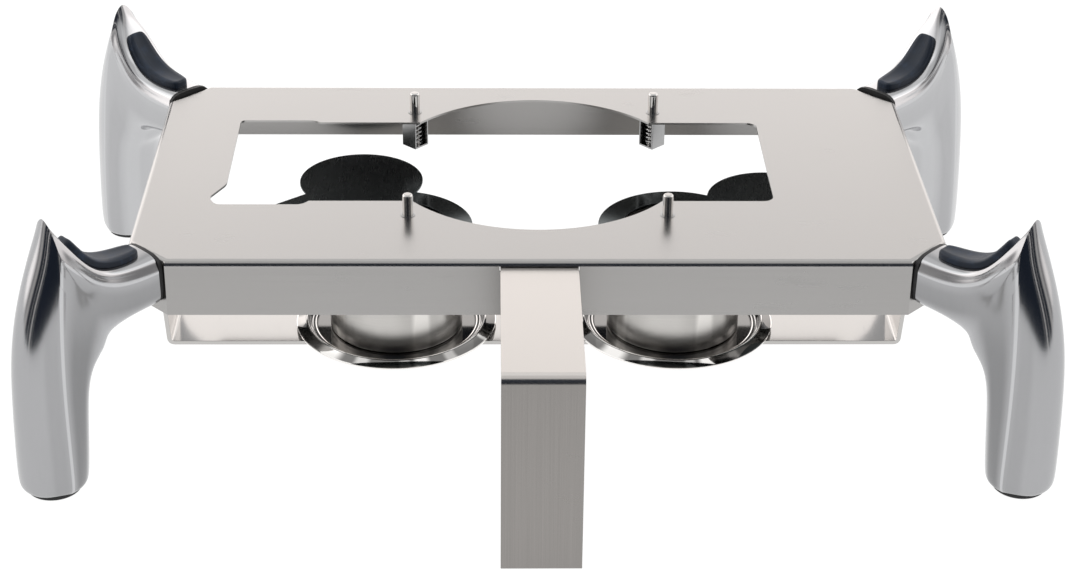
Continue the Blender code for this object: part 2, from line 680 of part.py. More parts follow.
# The sprung pins ------------------------------------------------------------------------------
def build_pin(make, origin, corner):
    """A pin in its bush, pushed up by a spring between a clip and the bracket's floor."""
    x, y = pin_place(corner)
    place = origin @ Matrix.Translation((x, y, 0))
    radius = PIN_DIAMETER / 2
    clip_top = UNDER_PLATE - BUSH_RIM - 2 * GAP
    clip_bottom = clip_top - CLIP_THICKNESS
    groove = radius - PIN_GROOVE
    top = FRAME_TOP + PIN_RISE
    middle = (radius - PIN_CROWN, top - PIN_CROWN)
    profile = [(0, top), *arc(middle, PIN_CROWN, 60, 0, 2)]
    profile += [
        (radius, clip_top + GAP),
        (groove, clip_top + GAP),
        (groove, clip_bottom - GAP),
        (radius, clip_bottom - GAP),
        (radius, BRACKET_BOTTOM - PIN_TAIL + EDGE),
        (radius - EDGE, BRACKET_BOTTOM - PIN_TAIL),
        (0, BRACKET_BOTTOM - PIN_TAIL),
    ]
    make.add("locating_pin_" + corner, turned_mesh(profile, SMALL_ROUND), "mirror", place)

    inner = radius + GAP
    outer = inner + BUSH_WALL
    rim = outer + BUSH_RIM_WIDTH
    bush = [
        (inner, FRAME_TOP + GAP + BUSH_RIM),
        (rim - BUSH_RIM_WIDTH / 3, FRAME_TOP + GAP + BUSH_RIM),
        (rim, FRAME_TOP + GAP),
        (outer, FRAME_TOP + GAP),
        (outer, UNDER_PLATE - BUSH_RIM),
        (inner, UNDER_PLATE - BUSH_RIM),
    ]
    make.add("pin_bush_" + corner, turned_mesh(bush, SMALL_ROUND), "fastener", place)

    clip = [
        (groove + GAP, clip_top),
        (CLIP_DIAMETER / 2, clip_top),
        (CLIP_DIAMETER / 2, clip_bottom),
        (groove + GAP, clip_bottom),
    ]
    make.add("pin_clip_" + corner, turned_mesh(clip, SMALL_ROUND), "fastener", place)

    # the bracket: three walls and a floor, its open side towards the middle of the window
    open_towards = math.atan2(ARC_CENTRE_Y - y, -x)
    half = BRACKET_SIDE / 2
    wall = BRACKET_SHEET
    bracket = make.add(
        "pin_bracket_" + corner,
        box((-half, -half, BRACKET_BOTTOM), (half, half, UNDER_PLATE - GAP)),
        "fastener",
        place @ Matrix.Rotation(open_towards, 4, "Z"),
    )
    inside = box(
        (-half + wall, -half + wall, BRACKET_BOTTOM + wall),
        (half + OVERSHOOT, half - wall, FRAME_TOP),
    )
    make.cut(bracket, inside, place @ Matrix.Rotation(open_towards, 4, "Z"))
    tail_hole = cylinder(radius + GAP, BRACKET_BOTTOM - OVERSHOOT, BRACKET_BOTTOM + OVERSHOOT)
    make.cut(bracket, tail_hole, place)

    build_spring(make, place, corner, clip_bottom - GAP, BRACKET_BOTTOM + BRACKET_SHEET + GAP)


def build_spring(make, place, corner, top, bottom):
    curve = bpy.data.curves.new("pin_spring", "CURVE")
    curve.dimensions = "3D"
    curve.bevel_depth = SPRING_WIRE / 2
    curve.bevel_resolution = 1
    curve.use_fill_caps = True
    coil_radius = PIN_DIAMETER / 2 + 2 * GAP + SPRING_WIRE / 2
    count = SPRING_TURNS * SPRING_POINTS + 1
    low, high = bottom + SPRING_WIRE / 2, top - SPRING_WIRE / 2
    spline = curve.splines.new("POLY")
    spline.points.add(count - 1)
    for i, point in enumerate(spline.points):
        angle = 2 * math.pi * i / SPRING_POINTS
        height = low + (high - low) * i / (count - 1)
        point.co = (coil_radius * math.cos(angle), coil_radius * math.sin(angle), height, 1)
    obj = bpy.data.objects.new("spring", curve)
    bpy.context.scene.collection.objects.link(obj)
    make.add("pin_spring_" + corner, evaluated_mesh(obj), "fastener", place)


# The burners ----------------------------------------------------------------------------------
def saucer_profile():
    """A flat floor, two small steps, a steep wall with a round crest and a lip that falls away."""
    edge = SAUCER_DIAMETER / 2
    floor = CUP_DIAMETER / 2 + SAUCER_FLOOR
    wall = floor + 4.4 * MM
    crest = wall + 2.8 * MM
    upper = [
        (0, SAUCER_SHEET),
        (floor, SAUCER_SHEET),
        (floor + 1.2 * MM, SAUCER_SHEET + 1.2 * MM),
        (wall - 0.8 * MM, SAUCER_SHEET + 1.4 * MM),
        (wall + 1.4 * MM, SAUCER_SHEET + 4.8 * MM),
        (crest, SAUCER_SHEET + 5.2 * MM),
        (crest + 1.4 * MM, SAUCER_SHEET + 4.8 * MM),
        (edge, SAUCER_SHEET + 2.2 * MM),
    ]
    lower = [
        (edge, 2.2 * MM),
        (crest + 0.6 * MM, 5 * MM),
        (wall + 2.4 * MM, 4.6 * MM),
        (wall + 0.6 * MM, 1.3 * MM),
        (floor + 1 * MM, 0),
        (0, 0),
    ]
    return [(r, z + SAUCER_BASE) for r, z in upper + lower]


def build_burner(make, origin, side, sign):
    place = origin @ Matrix.Translation((sign * BURNER_SPACING / 2, 0, 0))
    make.add("drip_saucer_" + side, turned_mesh(saucer_profile()), "mirror", place)

    radius = CUP_DIAMETER / 2
    cup = [
        (0, CUP_BASE + CUP_SHEET),
        (radius - CUP_SHEET, CUP_BASE + CUP_SHEET),
        (radius - CUP_SHEET, CUP_TOP),
        (radius, CUP_TOP),
        (radius, CUP_BASE),
        (0, CUP_BASE),
    ]
    make.add("fuel_cup_" + side, turned_mesh(cup), "satin", place)

    skirt = radius - CUP_SHEET - GAP
    ring_bottom = RING_TOP - RING_SHEET
    ring = [
        (RING_HOLE / 2, RING_TOP),
        (RING_DIAMETER / 2, RING_TOP),
        (RING_DIAMETER / 2, ring_bottom),
        (skirt, ring_bottom),
        (skirt, ring_bottom - RING_SKIRT),
        (skirt - CUP_SHEET, ring_bottom - RING_SKIRT),
        (skirt - CUP_SHEET, ring_bottom),
        (RING_HOLE / 2, ring_bottom),
    ]
    ring_piece = make.add("burner_ring_" + side, turned_mesh(ring), "mirror", place)
    pivot = (sign * PIVOT_X, PIVOT_Y)
    rivet_hole = RIVET_DIAMETER / 2 + GAP
    hole = cylinder(rivet_hole, ring_bottom - OVERSHOOT, RING_TOP + OVERSHOOT, at=pivot)
    make.cut(ring_piece, hole, place)

    opened = math.radians(LID_REST_LEFT if sign < 0 else -LID_REST_RIGHT)
    lid_place = place @ Matrix.Translation((*pivot, 0)) @ Matrix.Rotation(opened, 4, "Z")
    lid = plate_mesh(lid_outline(), LID_BASE, LID_BASE + LID_SHEET)
    lid.transform(Matrix.Translation((-pivot[0], -pivot[1], 0)))
    lid_piece = make.add("burner_lid_" + side, lid, "mirror", lid_place)
    lid_hole = cylinder(rivet_hole, LID_BASE - OVERSHOOT, LID_BASE + OVERSHOOT)
    make.cut(lid_piece, lid_hole, lid_place)

    head = RIVET_HEAD / 2
    shank = RIVET_DIAMETER / 2
    lid_top = LID_BASE + LID_SHEET
    rivet = [
        (0, lid_top + GAP + RIVET_HEAD_HEIGHT),
        (head * 0.6, lid_top + GAP + RIVET_HEAD_HEIGHT * 0.85),
        (head, lid_top + GAP),
        (shank, lid_top + GAP),
        (shank, ring_bottom - GAP),
        (head, ring_bottom - GAP),
        (head, ring_bottom - GAP - RIVET_HEAD_HEIGHT),
        (0, ring_bottom - GAP - RIVET_HEAD_HEIGHT),
    ]
    at_pivot = place @ Matrix.Translation((*pivot, 0))
    make.add("lid_rivet_" + side, turned_mesh(rivet, SMALL_ROUND), "fastener", at_pivot)


def lid_outline():
    """A disc with a straight handle towards +Y, whose end is rounded."""
    radius = LID_DIAMETER / 2
    half = LID_HANDLE_WIDTH / 2
    meet = math.degrees(math.acos(half / radius))
    disc = arc((0, 0), radius, 180 - meet, 360 + meet, 40)
    tip = arc((0, LID_HANDLE_REACH - half), half, 0, 180, 8)
    return disc + tip


# The whole object -----------------------------------------------------------------------------
def leg_reach_back():
    """How far the back legs stand out behind the frame's centre."""
    place = corner_frame("back_right")
    points = [place @ Vector(p) for section in LEG_POINTS for p in leg_section(*section)]
    return max(point.y for point in points)


def main():
    for obj in list(bpy.data.objects):
        bpy.data.objects.remove(obj)
    make = Builder()
    # the origin is at the middle of the whole object's footprint, so the frame stands behind it
    origin = Matrix.Translation((0, (STABILISER_REACH - leg_reach_back()) / 2, 0))
    build_frame(make, origin)
    build_stabiliser(make, origin)
    build_shelf(make, origin)
    for corner in CORNERS:
        build_leg(make, origin, corner)
        build_pin(make, origin, corner)
    build_burner(make, origin, "left", -1)
    build_burner(make, origin, "right", 1)


main()
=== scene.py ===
"""Looks of a chafing dish food warmer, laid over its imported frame: brushed and polished sheet,
polished castings, rubber saddles, sprung pins, and two lidded fuel holders."""

import math

import bmesh
import bpy
import numpy as np
from bpy.props import FloatProperty, FloatVectorProperty, IntProperty, PointerProperty
from mathutils import Matrix, Vector


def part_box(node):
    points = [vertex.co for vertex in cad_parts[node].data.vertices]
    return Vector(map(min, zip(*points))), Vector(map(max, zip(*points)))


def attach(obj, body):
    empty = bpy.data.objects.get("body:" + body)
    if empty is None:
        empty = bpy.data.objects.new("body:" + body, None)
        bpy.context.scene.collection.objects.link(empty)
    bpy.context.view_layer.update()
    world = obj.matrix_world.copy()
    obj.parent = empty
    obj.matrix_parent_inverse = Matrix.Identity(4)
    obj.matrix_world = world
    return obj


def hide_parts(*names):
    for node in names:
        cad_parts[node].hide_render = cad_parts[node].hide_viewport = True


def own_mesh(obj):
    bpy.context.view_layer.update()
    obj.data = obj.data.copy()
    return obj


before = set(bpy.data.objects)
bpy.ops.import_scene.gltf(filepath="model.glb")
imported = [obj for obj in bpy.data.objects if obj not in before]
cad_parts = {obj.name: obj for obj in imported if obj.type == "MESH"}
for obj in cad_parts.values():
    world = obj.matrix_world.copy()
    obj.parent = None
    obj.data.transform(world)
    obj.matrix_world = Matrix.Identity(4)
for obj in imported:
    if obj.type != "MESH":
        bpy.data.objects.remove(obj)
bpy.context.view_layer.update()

bl_info = {
    "name": "Chafing dish food warmer",
    "version": (1, 0, 0),
    "blender": (4, 5, 0),
    "location": "View3D > Sidebar > Food warmer",
    "description": "Builds the visible pieces of a chafing dish food warmer around its frame",
    "category": "Add Mesh",
}

MM = 0.001
FRAME_LOW, FRAME_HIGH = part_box("frame_plate")
CENTRE = (FRAME_LOW + FRAME_HIGH) / 2
FRAME_SIZE = FRAME_HIGH - FRAME_LOW
PLATE_TOP = FRAME_HIGH.z
SIDES = {"left": -1, "right": 1}
CORNERS = {
    "front_left": (-1, -1),
    "front_right": (1, -1),
    "back_left": (-1, 1),
    "back_right": (1, 1),
}
CHAMFER = (27 * MM, 28 * MM)  # corner cut along the long and the short side
CORNER_ANGLE = math.atan2(*CHAMFER)
CORNER_X = FRAME_SIZE.x / 2 - CHAMFER[0] / 2
CORNER_Y = FRAME_SIZE.y / 2 - CHAMFER[1] / 2
SHEET = 1.5 * MM
OVERSHOOT = 6 * MM  # how far a cutter runs past what it cuts
SMOOTH_ANGLE = math.radians(32)
FINE_EDGE = 0.2 * MM  # rounding of small pieces
BEND_STEPS = 8

# The cast leg, section by section from the foot up the horn and back along the arm: outer middle,
# widest point and inner middle as (out, height) from the corner's face, half width, how square the
# outer half is and how deep the inner edge is rounded, all in millimetres.
LEG_SECTIONS = (
    ((104.4, 3.0), (85.4, 3.0), 19.0, (66.4, 3.0), 2.0, 19.0),
    ((107.6, 5.0), (85.4, 5.0), 22.2, (63.2, 5.0), 2.0, 22.2),
    ((108.7, 10.0), (85.4, 10.0), 23.3, (62.1, 10.0), 2.0, 23.3),
    ((108.0, 40.0), (85.4, 40.0), 22.7, (60.6, 40.0), 2.0, 20.0),
    ((107.2, 68.0), (84.7, 67.0), 21.5, (60.0, 64.0), 2.0, 16.0),
    ((105.9, 92.0), (83.6, 89.0), 20.4, (59.2, 77.0), 2.0, 13.0),
    ((103.0, 112.0), (82.3, 108.0), 19.6, (57.0, 85.5), 2.0, 12.0),
    ((98.4, 130.0), (80.8, 125.0), 18.9, (54.6, 90.5), 2.0, 11.0),
    ((92.3, 147.0), (79.2, 140.0), 18.2, (52.0, 94.0), 2.0, 10.5),
    ((85.4, 162.5), (77.2, 153.0), 17.1, (49.6, 96.7), 2.0, 10.0),
    ((79.4, 178.0), (75.3, 163.0), 15.8, (47.2, 99.0), 1.8, 10.0),
    ((74.8, 192.9), (73.2, 170.3), 14.5, (45.0, 100.7), 1.4, 10.0),
    ((70.8, 184.0), (70.6, 165.5), 15.3, (42.6, 102.3), 1.8, 10.0),
    ((66.0, 176.3), (66.6, 160.6), 16.3, (40.0, 103.7), 2.8, 10.0),
    ((60.2, 167.5), (61.6, 155.6), 17.2, (37.0, 105.0), 3.6, 10.0),
    ((54.3, 159.3), (55.3, 149.6), 17.9, (33.5, 106.1), 4.0, 10.0),
    ((46.6, 151.8), (47.2, 143.4), 18.2, (29.5, 107.0), 4.0, 10.0),
    ((37.0, 147.6), (36.6, 138.6), 18.3, (24.5, 107.8), 4.0, 10.0),
    ((26.5, 145.9), (26.0, 136.6), 18.3, (18.5, 108.4), 4.0, 10.0),
    ((14.5, 145.5), (14.0, 136.0), 18.2, (11.0, 108.8), 3.6, 10.5),
    ((3.3, 145.9), (3.3, 136.4), 18.0, (3.3, 109.0), 3.2, 11.0),
)
RIDGE = 0.16  # how far the outer face is drawn in beside the widest line, as a share
FLANK = 18.3 * MM  # least half width of the sides
ELBOW_ROW, ELBOW_ROWS, ELBOW_FILL = 8.0, 3.0, 4.5 * MM  # the rounder inside of the elbow
ELBOW_SHARE = 0.7  # of the fill that goes each way, towards the plate and down
HORN_TIP = 11  # the row at the horn's tip, where the outer line turns sharply
ROW_STEPS = 8  # rings between two rows
QUARTER_STEPS = 16  # points in a quarter of a ring
SOFTNESS = 4.5  # how many rings the smoothing reaches
PAD_FIRST, PAD_LAST = 13.4, 19.5  # the saddle pad's ends, as rows

# The window in the plate, from the frame's centre.
WINDOW_RIGHT, WINDOW_BACK, WINDOW_FRONT = 161.7 * MM, 75.5 * MM, -53 * MM
WINDOW_CORNER, BAY_CORNER = 7 * MM, 3.5 * MM
PIN_HOLE = 4.85 * MM  # radius of the holes for the pins' bushes
SLOT_GAP, SLOT_DEPTH = 0.4 * MM, 3 * MM  # the slot in front, round and below the front foot
BAY_START, BAY_LEFT = -155.5 * MM, -213.7 * MM
BAY_BACK, BAY_FRONT = 78.9 * MM, -58.5 * MM
BAY_STEP, FLARE_TOP, FLARE_REACH = 4.5 * MM, -27 * MM, 10 * MM
ARC_CENTRE_Y, ARC_RADIUS = 10 * MM, 106 * MM


class WarmerSizes(bpy.types.PropertyGroup):
    """Sizes of the visible finish."""

    bend_radius: FloatProperty(
        name="Bend radius", description="Radius of the plate's bends", default=4 * MM, unit="LENGTH"
    )
    edge_radius: FloatProperty(
        name="Edge radius", description="Rounding of cut edges", default=0.25 * MM, unit="LENGTH"
    )
    pad_thickness: FloatProperty(
        name="Pad thickness", description="Height of a saddle pad", default=5 * MM, unit="LENGTH"
    )
    pad_width: FloatProperty(
        name="Pad width", description="Width of a saddle pad", default=20 * MM, unit="LENGTH"
    )
    turned_steps: IntProperty(
        name="Turned steps", description="Facets of round pieces", default=112
    )


class WarmerColours(bpy.types.PropertyGroup):
    """Colours of the finishes."""

    brushed: FloatVectorProperty(
        name="Brushed sheet", description="Plate colour", subtype="COLOR",
        default=(0.42, 0.412, 0.403),
    )
    strip: FloatVectorProperty(
        name="Front foot", description="Front foot colour", subtype="COLOR",
        default=(0.62, 0.59, 0.565),
    )
    mirror: FloatVectorProperty(
        name="Mirror sheet", description="Polished sheet", subtype="COLOR",
        default=(0.5, 0.488, 0.475),
    )
    # painted reflection: the lid's base colour is painted dark to stand for the shaded plate
    # underside that it reflects
    lid: FloatVectorProperty(
        name="Lid", description="Darkened lid sheet", subtype="COLOR",
        default=(0.1, 0.112, 0.115),
    )
    satin: FloatVectorProperty(
        name="Satin sheet", description="Fuel cup colour", subtype="COLOR",
        default=(0.42, 0.408, 0.392),
    )
    casting: FloatVectorProperty(
        name="Casting", description="Leg colour", subtype="COLOR",
        default=(0.385, 0.387, 0.395),
    )
    plated: FloatVectorProperty(
        name="Plated steel", description="Fasteners", subtype="COLOR",
        default=(0.4, 0.4, 0.4),
    )
    rubber: FloatVectorProperty(
        name="Saddle rubber", description="Pad colour", subtype="COLOR",
        default=(0.008, 0.0145, 0.027),
    )
    gasket: FloatVectorProperty(
        name="Black rubber", description="Gaskets and feet", subtype="COLOR",
        default=(0.006, 0.006, 0.0065),
    )


# Shader maths ---------------------------------------------------------------------------------
class Value:
    """One output socket, with arithmetic that adds Math nodes."""

    def __init__(self, graph, socket):
        self.graph = graph
        self.socket = socket

    def _math(self, operation, first, second):
        return self.graph.node("ShaderNodeMath", {"operation": operation}, {0: first, 1: second})

    def __add__(self, other):
        return self._math("ADD", self, other)

    __radd__ = __add__

    def __mul__(self, other):
        return self._math("MULTIPLY", self, other)

    __rmul__ = __mul__

    def __sub__(self, other):
        return self._math("SUBTRACT", self, other)

    def __rsub__(self, other):
        return self._math("SUBTRACT", other, self)

    def between(self, low, high):
        """0 below low and 1 above high, with a soft step between them."""
        settings = {"interpolation_type": "SMOOTHSTEP"}
        return self.graph.node("ShaderNodeMapRange", settings, {0: self, 1: low, 2: high})


class Graph:
    """Builds the nodes of one material or of the world."""

    def __init__(self, tree):
        self.tree = tree

    def node(self, kind, settings=None, sockets=None, out=0):
        made = self.tree.nodes.new(kind)
        for key, value in (settings or {}).items():
            setattr(made, key, value)
        self.feed(made, sockets or {})
        return Value(self, made.outputs[out])

    def feed(self, node, sockets):
        """Gives a node's inputs their values or links."""
        for key, value in sockets.items():
            if isinstance(value, Value):
                self.tree.links.new(value.socket, node.inputs[key])
            else:
                node.inputs[key].default_value = value

    def vector(self, operation, sockets, out=0):
        return self.node("ShaderNodeVectorMath", {"operation": operation}, sockets, out)

    def place(self):
        return self.node("ShaderNodeTexCoord", out="Object")

    def stretched(self, scale):
        return self.vector("MULTIPLY", {0: self.place(), 1: scale})

    def along(self, direction):
        return self.vector("DOT_PRODUCT", {0: self.place(), 1: direction}, "Value")

    def offset(self, centre):
        return self.vector("SUBTRACT", {0: self.place(), 1: tuple(centre)})

    def noise(self, vector, scale=1.0, detail=2.0):
        sockets = {"Vector": vector, "Scale": scale, "Detail": detail}
        return self.node("ShaderNodeTexNoise", None, sockets)

    def part(self, vector, axis):
        return self.node("ShaderNodeSeparateXYZ", None, {0: vector}, out=axis)

    def step(self, axis, low, high):
        """0 below one place along an axis and 1 above another, with a soft step between them."""
        return self.part(self.place(), axis).between(low, high)

    def bearing(self, vector):
        """Angle round the upright axis, from the front."""
        sockets = {0: self.part(vector, "X"), 1: self.part(vector, "Y") * -1}
        return self.node("ShaderNodeMath", {"operation": "ARCTAN2"}, sockets)

    def mix(self, amount, first, second):
        sockets = {0: amount, 6: first, 7: second}
        return self.node("ShaderNodeMix", {"data_type": "RGBA"}, sockets, out=2)

    def tint(self, amount, first, second):
        """A mix of two plain colours."""
        return self.mix(amount, (*first, 1), (*second, 1))

    def bump(self, height, strength, distance):
        sockets = {"Height": height, "Strength": strength, "Distance": distance}
        return self.node("ShaderNodeBump", None, sockets)


def strips(across, table):
    """The sum of strips with soft edges, each given by its place, half width and strength."""
    parts = []
    for place, width, power in table:
        rising = across.between(place - width * 1.5, place - width * 0.5)
        falling = across.between(place + width * 0.5, place + width * 1.5)
        parts.append((rising - falling) * power)
    return sum(parts[1:], parts[0])


def finish_material(name, metallic, ior, sockets):
    """A material whose shader takes the values and links that sockets returns for its graph."""
    material = bpy.data.materials.new(name)
    material.use_nodes = True
    graph = Graph(material.node_tree)
    shader = material.node_tree.nodes["Principled BSDF"]
    graph.feed(shader, {"Metallic": metallic, "IOR": ior, **sockets(graph)})
    return material


def scaled(vector, factor):
    return tuple(part * factor for part in vector)


def shade(colour, factor):
    return tuple(min(channel, 1) for channel in scaled(colour, factor))


def brushed_sheet(name, colour, grain, roughness, level, painted_shade_below, depth=0.25):
    """Sheet with fine brushing along one axis, faint cloudiness, a few wiping marks, and painted
    shade that darkens it below a level.
    """

    def sockets(graph):
        fine = graph.noise(graph.stretched(grain), 1.0, 3.0)
        coarse = graph.noise(graph.stretched(scaled(grain, 0.3)), 1.0, 2.0)
        cloud = graph.noise(graph.place(), 6.0, 3.0)
        wipes = graph.noise(graph.stretched((22, 50, 90)), 1.0, 5.0).between(0.62, 0.8)
        lines = fine * 0.75 + coarse * 0.25
        # painted shade: below the given level the sheet's tone is lowered, so lower faces read
        # darker than the lit top
        upper = graph.step("Z", level - 1.5 * MM, level + 1.5 * MM)
        tone = lines * 0.17 + cloud * 0.06 + upper * (1 - painted_shade_below) + painted_shade_below
        return {
            "Base Color": graph.tint(tone * 0.9, (0, 0, 0), colour),
            "Roughness": roughness - 0.05 + lines * 0.05 + cloud * 0.06 + wipes * 0.06,
            "Normal": graph.bump(lines, depth, 0.012 * MM),
        }

    return finish_material(name, 1, 1.5, sockets)


def mirror_sheet(name, colour, roughness=0.05, lean=0.0):
    """Polished sheet with hairline scratches, a breath of haze and a barely uneven face, which can
    lean by a slope along Y as long thin sheet does when it is sprung between its ends."""

    def sockets(graph):
        haze = graph.noise(graph.place(), 22.0, 3.0)
        hairs = graph.noise(graph.stretched((900, 60, 900)), 1.0, 2.0).between(0.6, 0.72)
        swell = graph.noise(graph.place(), 30.0, 1.0)
        return {
            "Base Color": graph.tint(haze, shade(colour, 0.96), shade(colour, 1.04)),
            "Roughness": roughness + haze * 0.04 + hairs * 0.04,
            "Normal": graph.bump(swell * 0.01 * MM + graph.part(graph.place(), "Y") * lean, 1, 1),
        }

    return finish_material(name, 1, 1.5, sockets)


# Painted highlights as soft light fans on a turned cup and painted reflections as bright patches on
# a saucer's lip, as bearing in radians from the front, half width and strength, and a saucer's
# painted bright rims, with a radius for the bearing.
CUP_PAINTED_HIGHLIGHTS = ((-0.95, 0.1, 0.9), (-0.2, 0.3, 0.25), (0.42, 0.12, 1.0), (0.95, 0.2, 0.3))
LIP_PAINTED_REFLECTIONS = (
    (-2.2, 0.3, 0.5), (-1.5, 0.1, 0.3), (-0.72, 0.13, 0.75), (-0.33, 0.07, 0.5), (0.12, 0.05, 0.3),
    (0.3, 0.07, 0.8), (0.62, 0.06, 0.35), (1.15, 0.05, 0.6), (2.2, 0.4, 0.5),
)
SAUCER_PAINTED_RIMS = (
    (58.2 * MM, 0.35 * MM, 1), (60.4 * MM, 0.3 * MM, 1),
    (64.4 * MM, 0.5 * MM, 1), (71.8 * MM, 0.4 * MM, 1),
)


def satin_sheet(name, colour, centre):
    """Turned satin sheet: fine lines round the upright axis, with painted highlights as soft
    upright fans, painted light on the lower part and a painted dark band at the foot.
    """

    def sockets(graph):
        # painted highlights: soft upright fans by bearing round the cup
        painted_highlight_fans = strips(graph.bearing(graph.offset(centre)), CUP_PAINTED_HIGHLIGHTS)
        # painted light: the lower part of the cup is lightened
        low = 1 - graph.step("Z", 24 * MM, 70 * MM)
        # painted shade: a dark band at the cup's foot
        foot = 1 - graph.step("Z", 23 * MM, 26 * MM)
        rings = graph.noise(graph.stretched((12, 12, 2600)), 1.0, 3.0)
        cloud = graph.noise(graph.place(), 14.0, 2.0)
        tone = rings * 0.2 + cloud * 0.1 + painted_highlight_fans * 0.7 + low * 0.5 - foot * 0.6
        return {
            "Base Color": graph.tint(tone, shade(colour, 0.74), shade(colour, 1.9)),
            "Roughness": 0.24 + rings * 0.06 + cloud * 0.06,
            "Normal": graph.bump(rings, 0.12, 0.012 * MM),
        }

    return finish_material(name, 1, 1.5, sockets)


def saucer_sheet(name, colour, centre):
    """Polished saucer with painted reflections: a base colour painted near black for a dark steep
    wall, painted highlights as bright rims, bright painted patches on its lip and a lighter floor.
    """

    def sockets(graph):
        offset = graph.offset(centre)
        level = graph.vector("MULTIPLY", {0: offset, 1: (1, 1, 0)})
        radius = graph.vector("LENGTH", {0: level}, "Value")
        painted_lip_reflections = strips(graph.bearing(offset), LIP_PAINTED_REFLECTIONS)
        painted_rim_highlights = strips(radius, SAUCER_PAINTED_RIMS)
        lip = radius.between(65 * MM, 65.6 * MM)
        floor = 1 - radius.between(56 * MM, 57.5 * MM)
        haze = graph.noise(graph.place(), 40.0, 2.0)
        # painted reflections: near-black base colour everywhere but the rims, the lip's patches and
        # the floor, which are painted light
        tone = painted_rim_highlights + lip * (0.16 + painted_lip_reflections) + floor * 0.3 + haze * 0.04
        return {
            "Base Color": graph.tint(tone, shade(colour, 0.05), shade(colour, 1.8)),
            "Roughness": 0.03 + haze * 0.03,
            "Normal": graph.bump(haze, 0.05, 0.02 * MM),
        }

    return finish_material(name, 1, 1.5, sockets)


# Painted highlights and painted shade as lines along a leg, as place round its section from the
# outer middle (0) to the inner middle (1), half width and strength.
LEG_PAINTED_HIGHLIGHTS = ((0.5, 0.012, 0.5), (0.84, 0.08, 0.28))
LEG_PAINTED_SHADES = ((0.62, 0.08, 0.42), (0.4, 0.07, 0.12))


def polished_casting(name, colour):
    """Buffed cast alloy: soft gloss, faint buffing lines, a slightly uneven skin, a painted
    highlight along the ridge with painted shade beside it, and back legs painted lighter.
    """

    def sockets(graph):
        swell = graph.noise(graph.place(), 26.0, 2.0)
        haze = graph.noise(graph.stretched((30, 30, 12)), 1.0, 4.0)
        buffing = graph.noise(graph.stretched((500, 500, 90)), 1.0, 3.0)
        around = graph.node("ShaderNodeAttribute", {"attribute_name": "around"}, out="Fac")
        below_horn = 1 - graph.step("Z", 95 * MM, 150 * MM)
        # painted highlight along the ridge and painted shade beside it, the shade stronger below
        # the horn
        painted_ridge_highlight = strips(around, LEG_PAINTED_HIGHLIGHTS)
        painted_hollow_shade = strips(around, LEG_PAINTED_SHADES)
        painted_relief = painted_ridge_highlight - painted_hollow_shade * (0.35 + below_horn * 0.65)
        # painted light: the back legs are painted lighter
        back_legs_painted_light = graph.step("Y", 0.05, 0.12)
        foot_wear = 1 - graph.step("Z", 4 * MM, 16 * MM)
        tone = 0.5 + haze * 0.1 + buffing * 0.05 + painted_relief * (1 - back_legs_painted_light * 0.6) + back_legs_painted_light * 0.24
        return {
            "Base Color": graph.tint(tone, shade(colour, 0.5), shade(colour, 1.4)),
            "Roughness": 0.1 + haze * 0.07 + buffing * 0.03 + foot_wear * 0.08,
            "Normal": graph.bump(swell * 0.8 + buffing * 0.004, 0.1, 0.8 * MM),
        }

    return finish_material(name, 1, 1.5, sockets)


def plated_steel(name, colour):
    """Plated fasteners: a fine grain with uneven gloss."""

    def sockets(graph):
        grain = graph.noise(graph.place(), 700.0, 2.0)
        haze = graph.noise(graph.place(), 90.0, 2.0)
        return {
            "Base Color": graph.tint(haze, shade(colour, 0.85), shade(colour, 1.1)),
            "Roughness": 0.16 + haze * 0.12,
            "Normal": graph.bump(grain, 0.15, 0.03 * MM),
        }

    return finish_material(name, 1, 1.5, sockets)


def saddle_rubber(name, colour, across):
    """Moulded rubber with faint drag lines along the saddle and a dusty, paler wear."""

    def sockets(graph):
        lines = graph.noise(graph.along(scaled(across, 1400)), 1.0, 2.0)
        dust = graph.noise(graph.place(), 120.0, 4.0)
        pale = (lines * 0.5 + dust * 0.5).between(0.46, 0.7)
        return {
            "Base Color": graph.tint(pale, colour, shade(colour, 2.4)),
            "Roughness": 0.36 + dust * 0.16 + lines * 0.08,
            "Normal": graph.bump(lines * 0.6 + dust * 0.4, 0.3, 0.12 * MM),
        }

    return finish_material(name, 0, 1.36, sockets)


def black_rubber(name, colour):
    """Black rubber with a matt grain and a little dust."""

    def sockets(graph):
        grain = graph.noise(graph.place(), 900.0, 3.0)
        dust = graph.noise(graph.place(), 110.0, 3.0)
        return {
            "Base Color": graph.tint(dust.between(0.45, 0.75), colour, shade(colour, 3)),
            "Roughness": 0.5 + dust * 0.2,
            "Normal": graph.bump(grain, 0.25, 0.06 * MM),
        }

    return finish_material(name, 0, 1.5, sockets)


GRAIN_ALONG_X = (10, 3400, 3400)
GRAIN_ALONG_STRIP = (2600, 10, 10)
finishes = {}


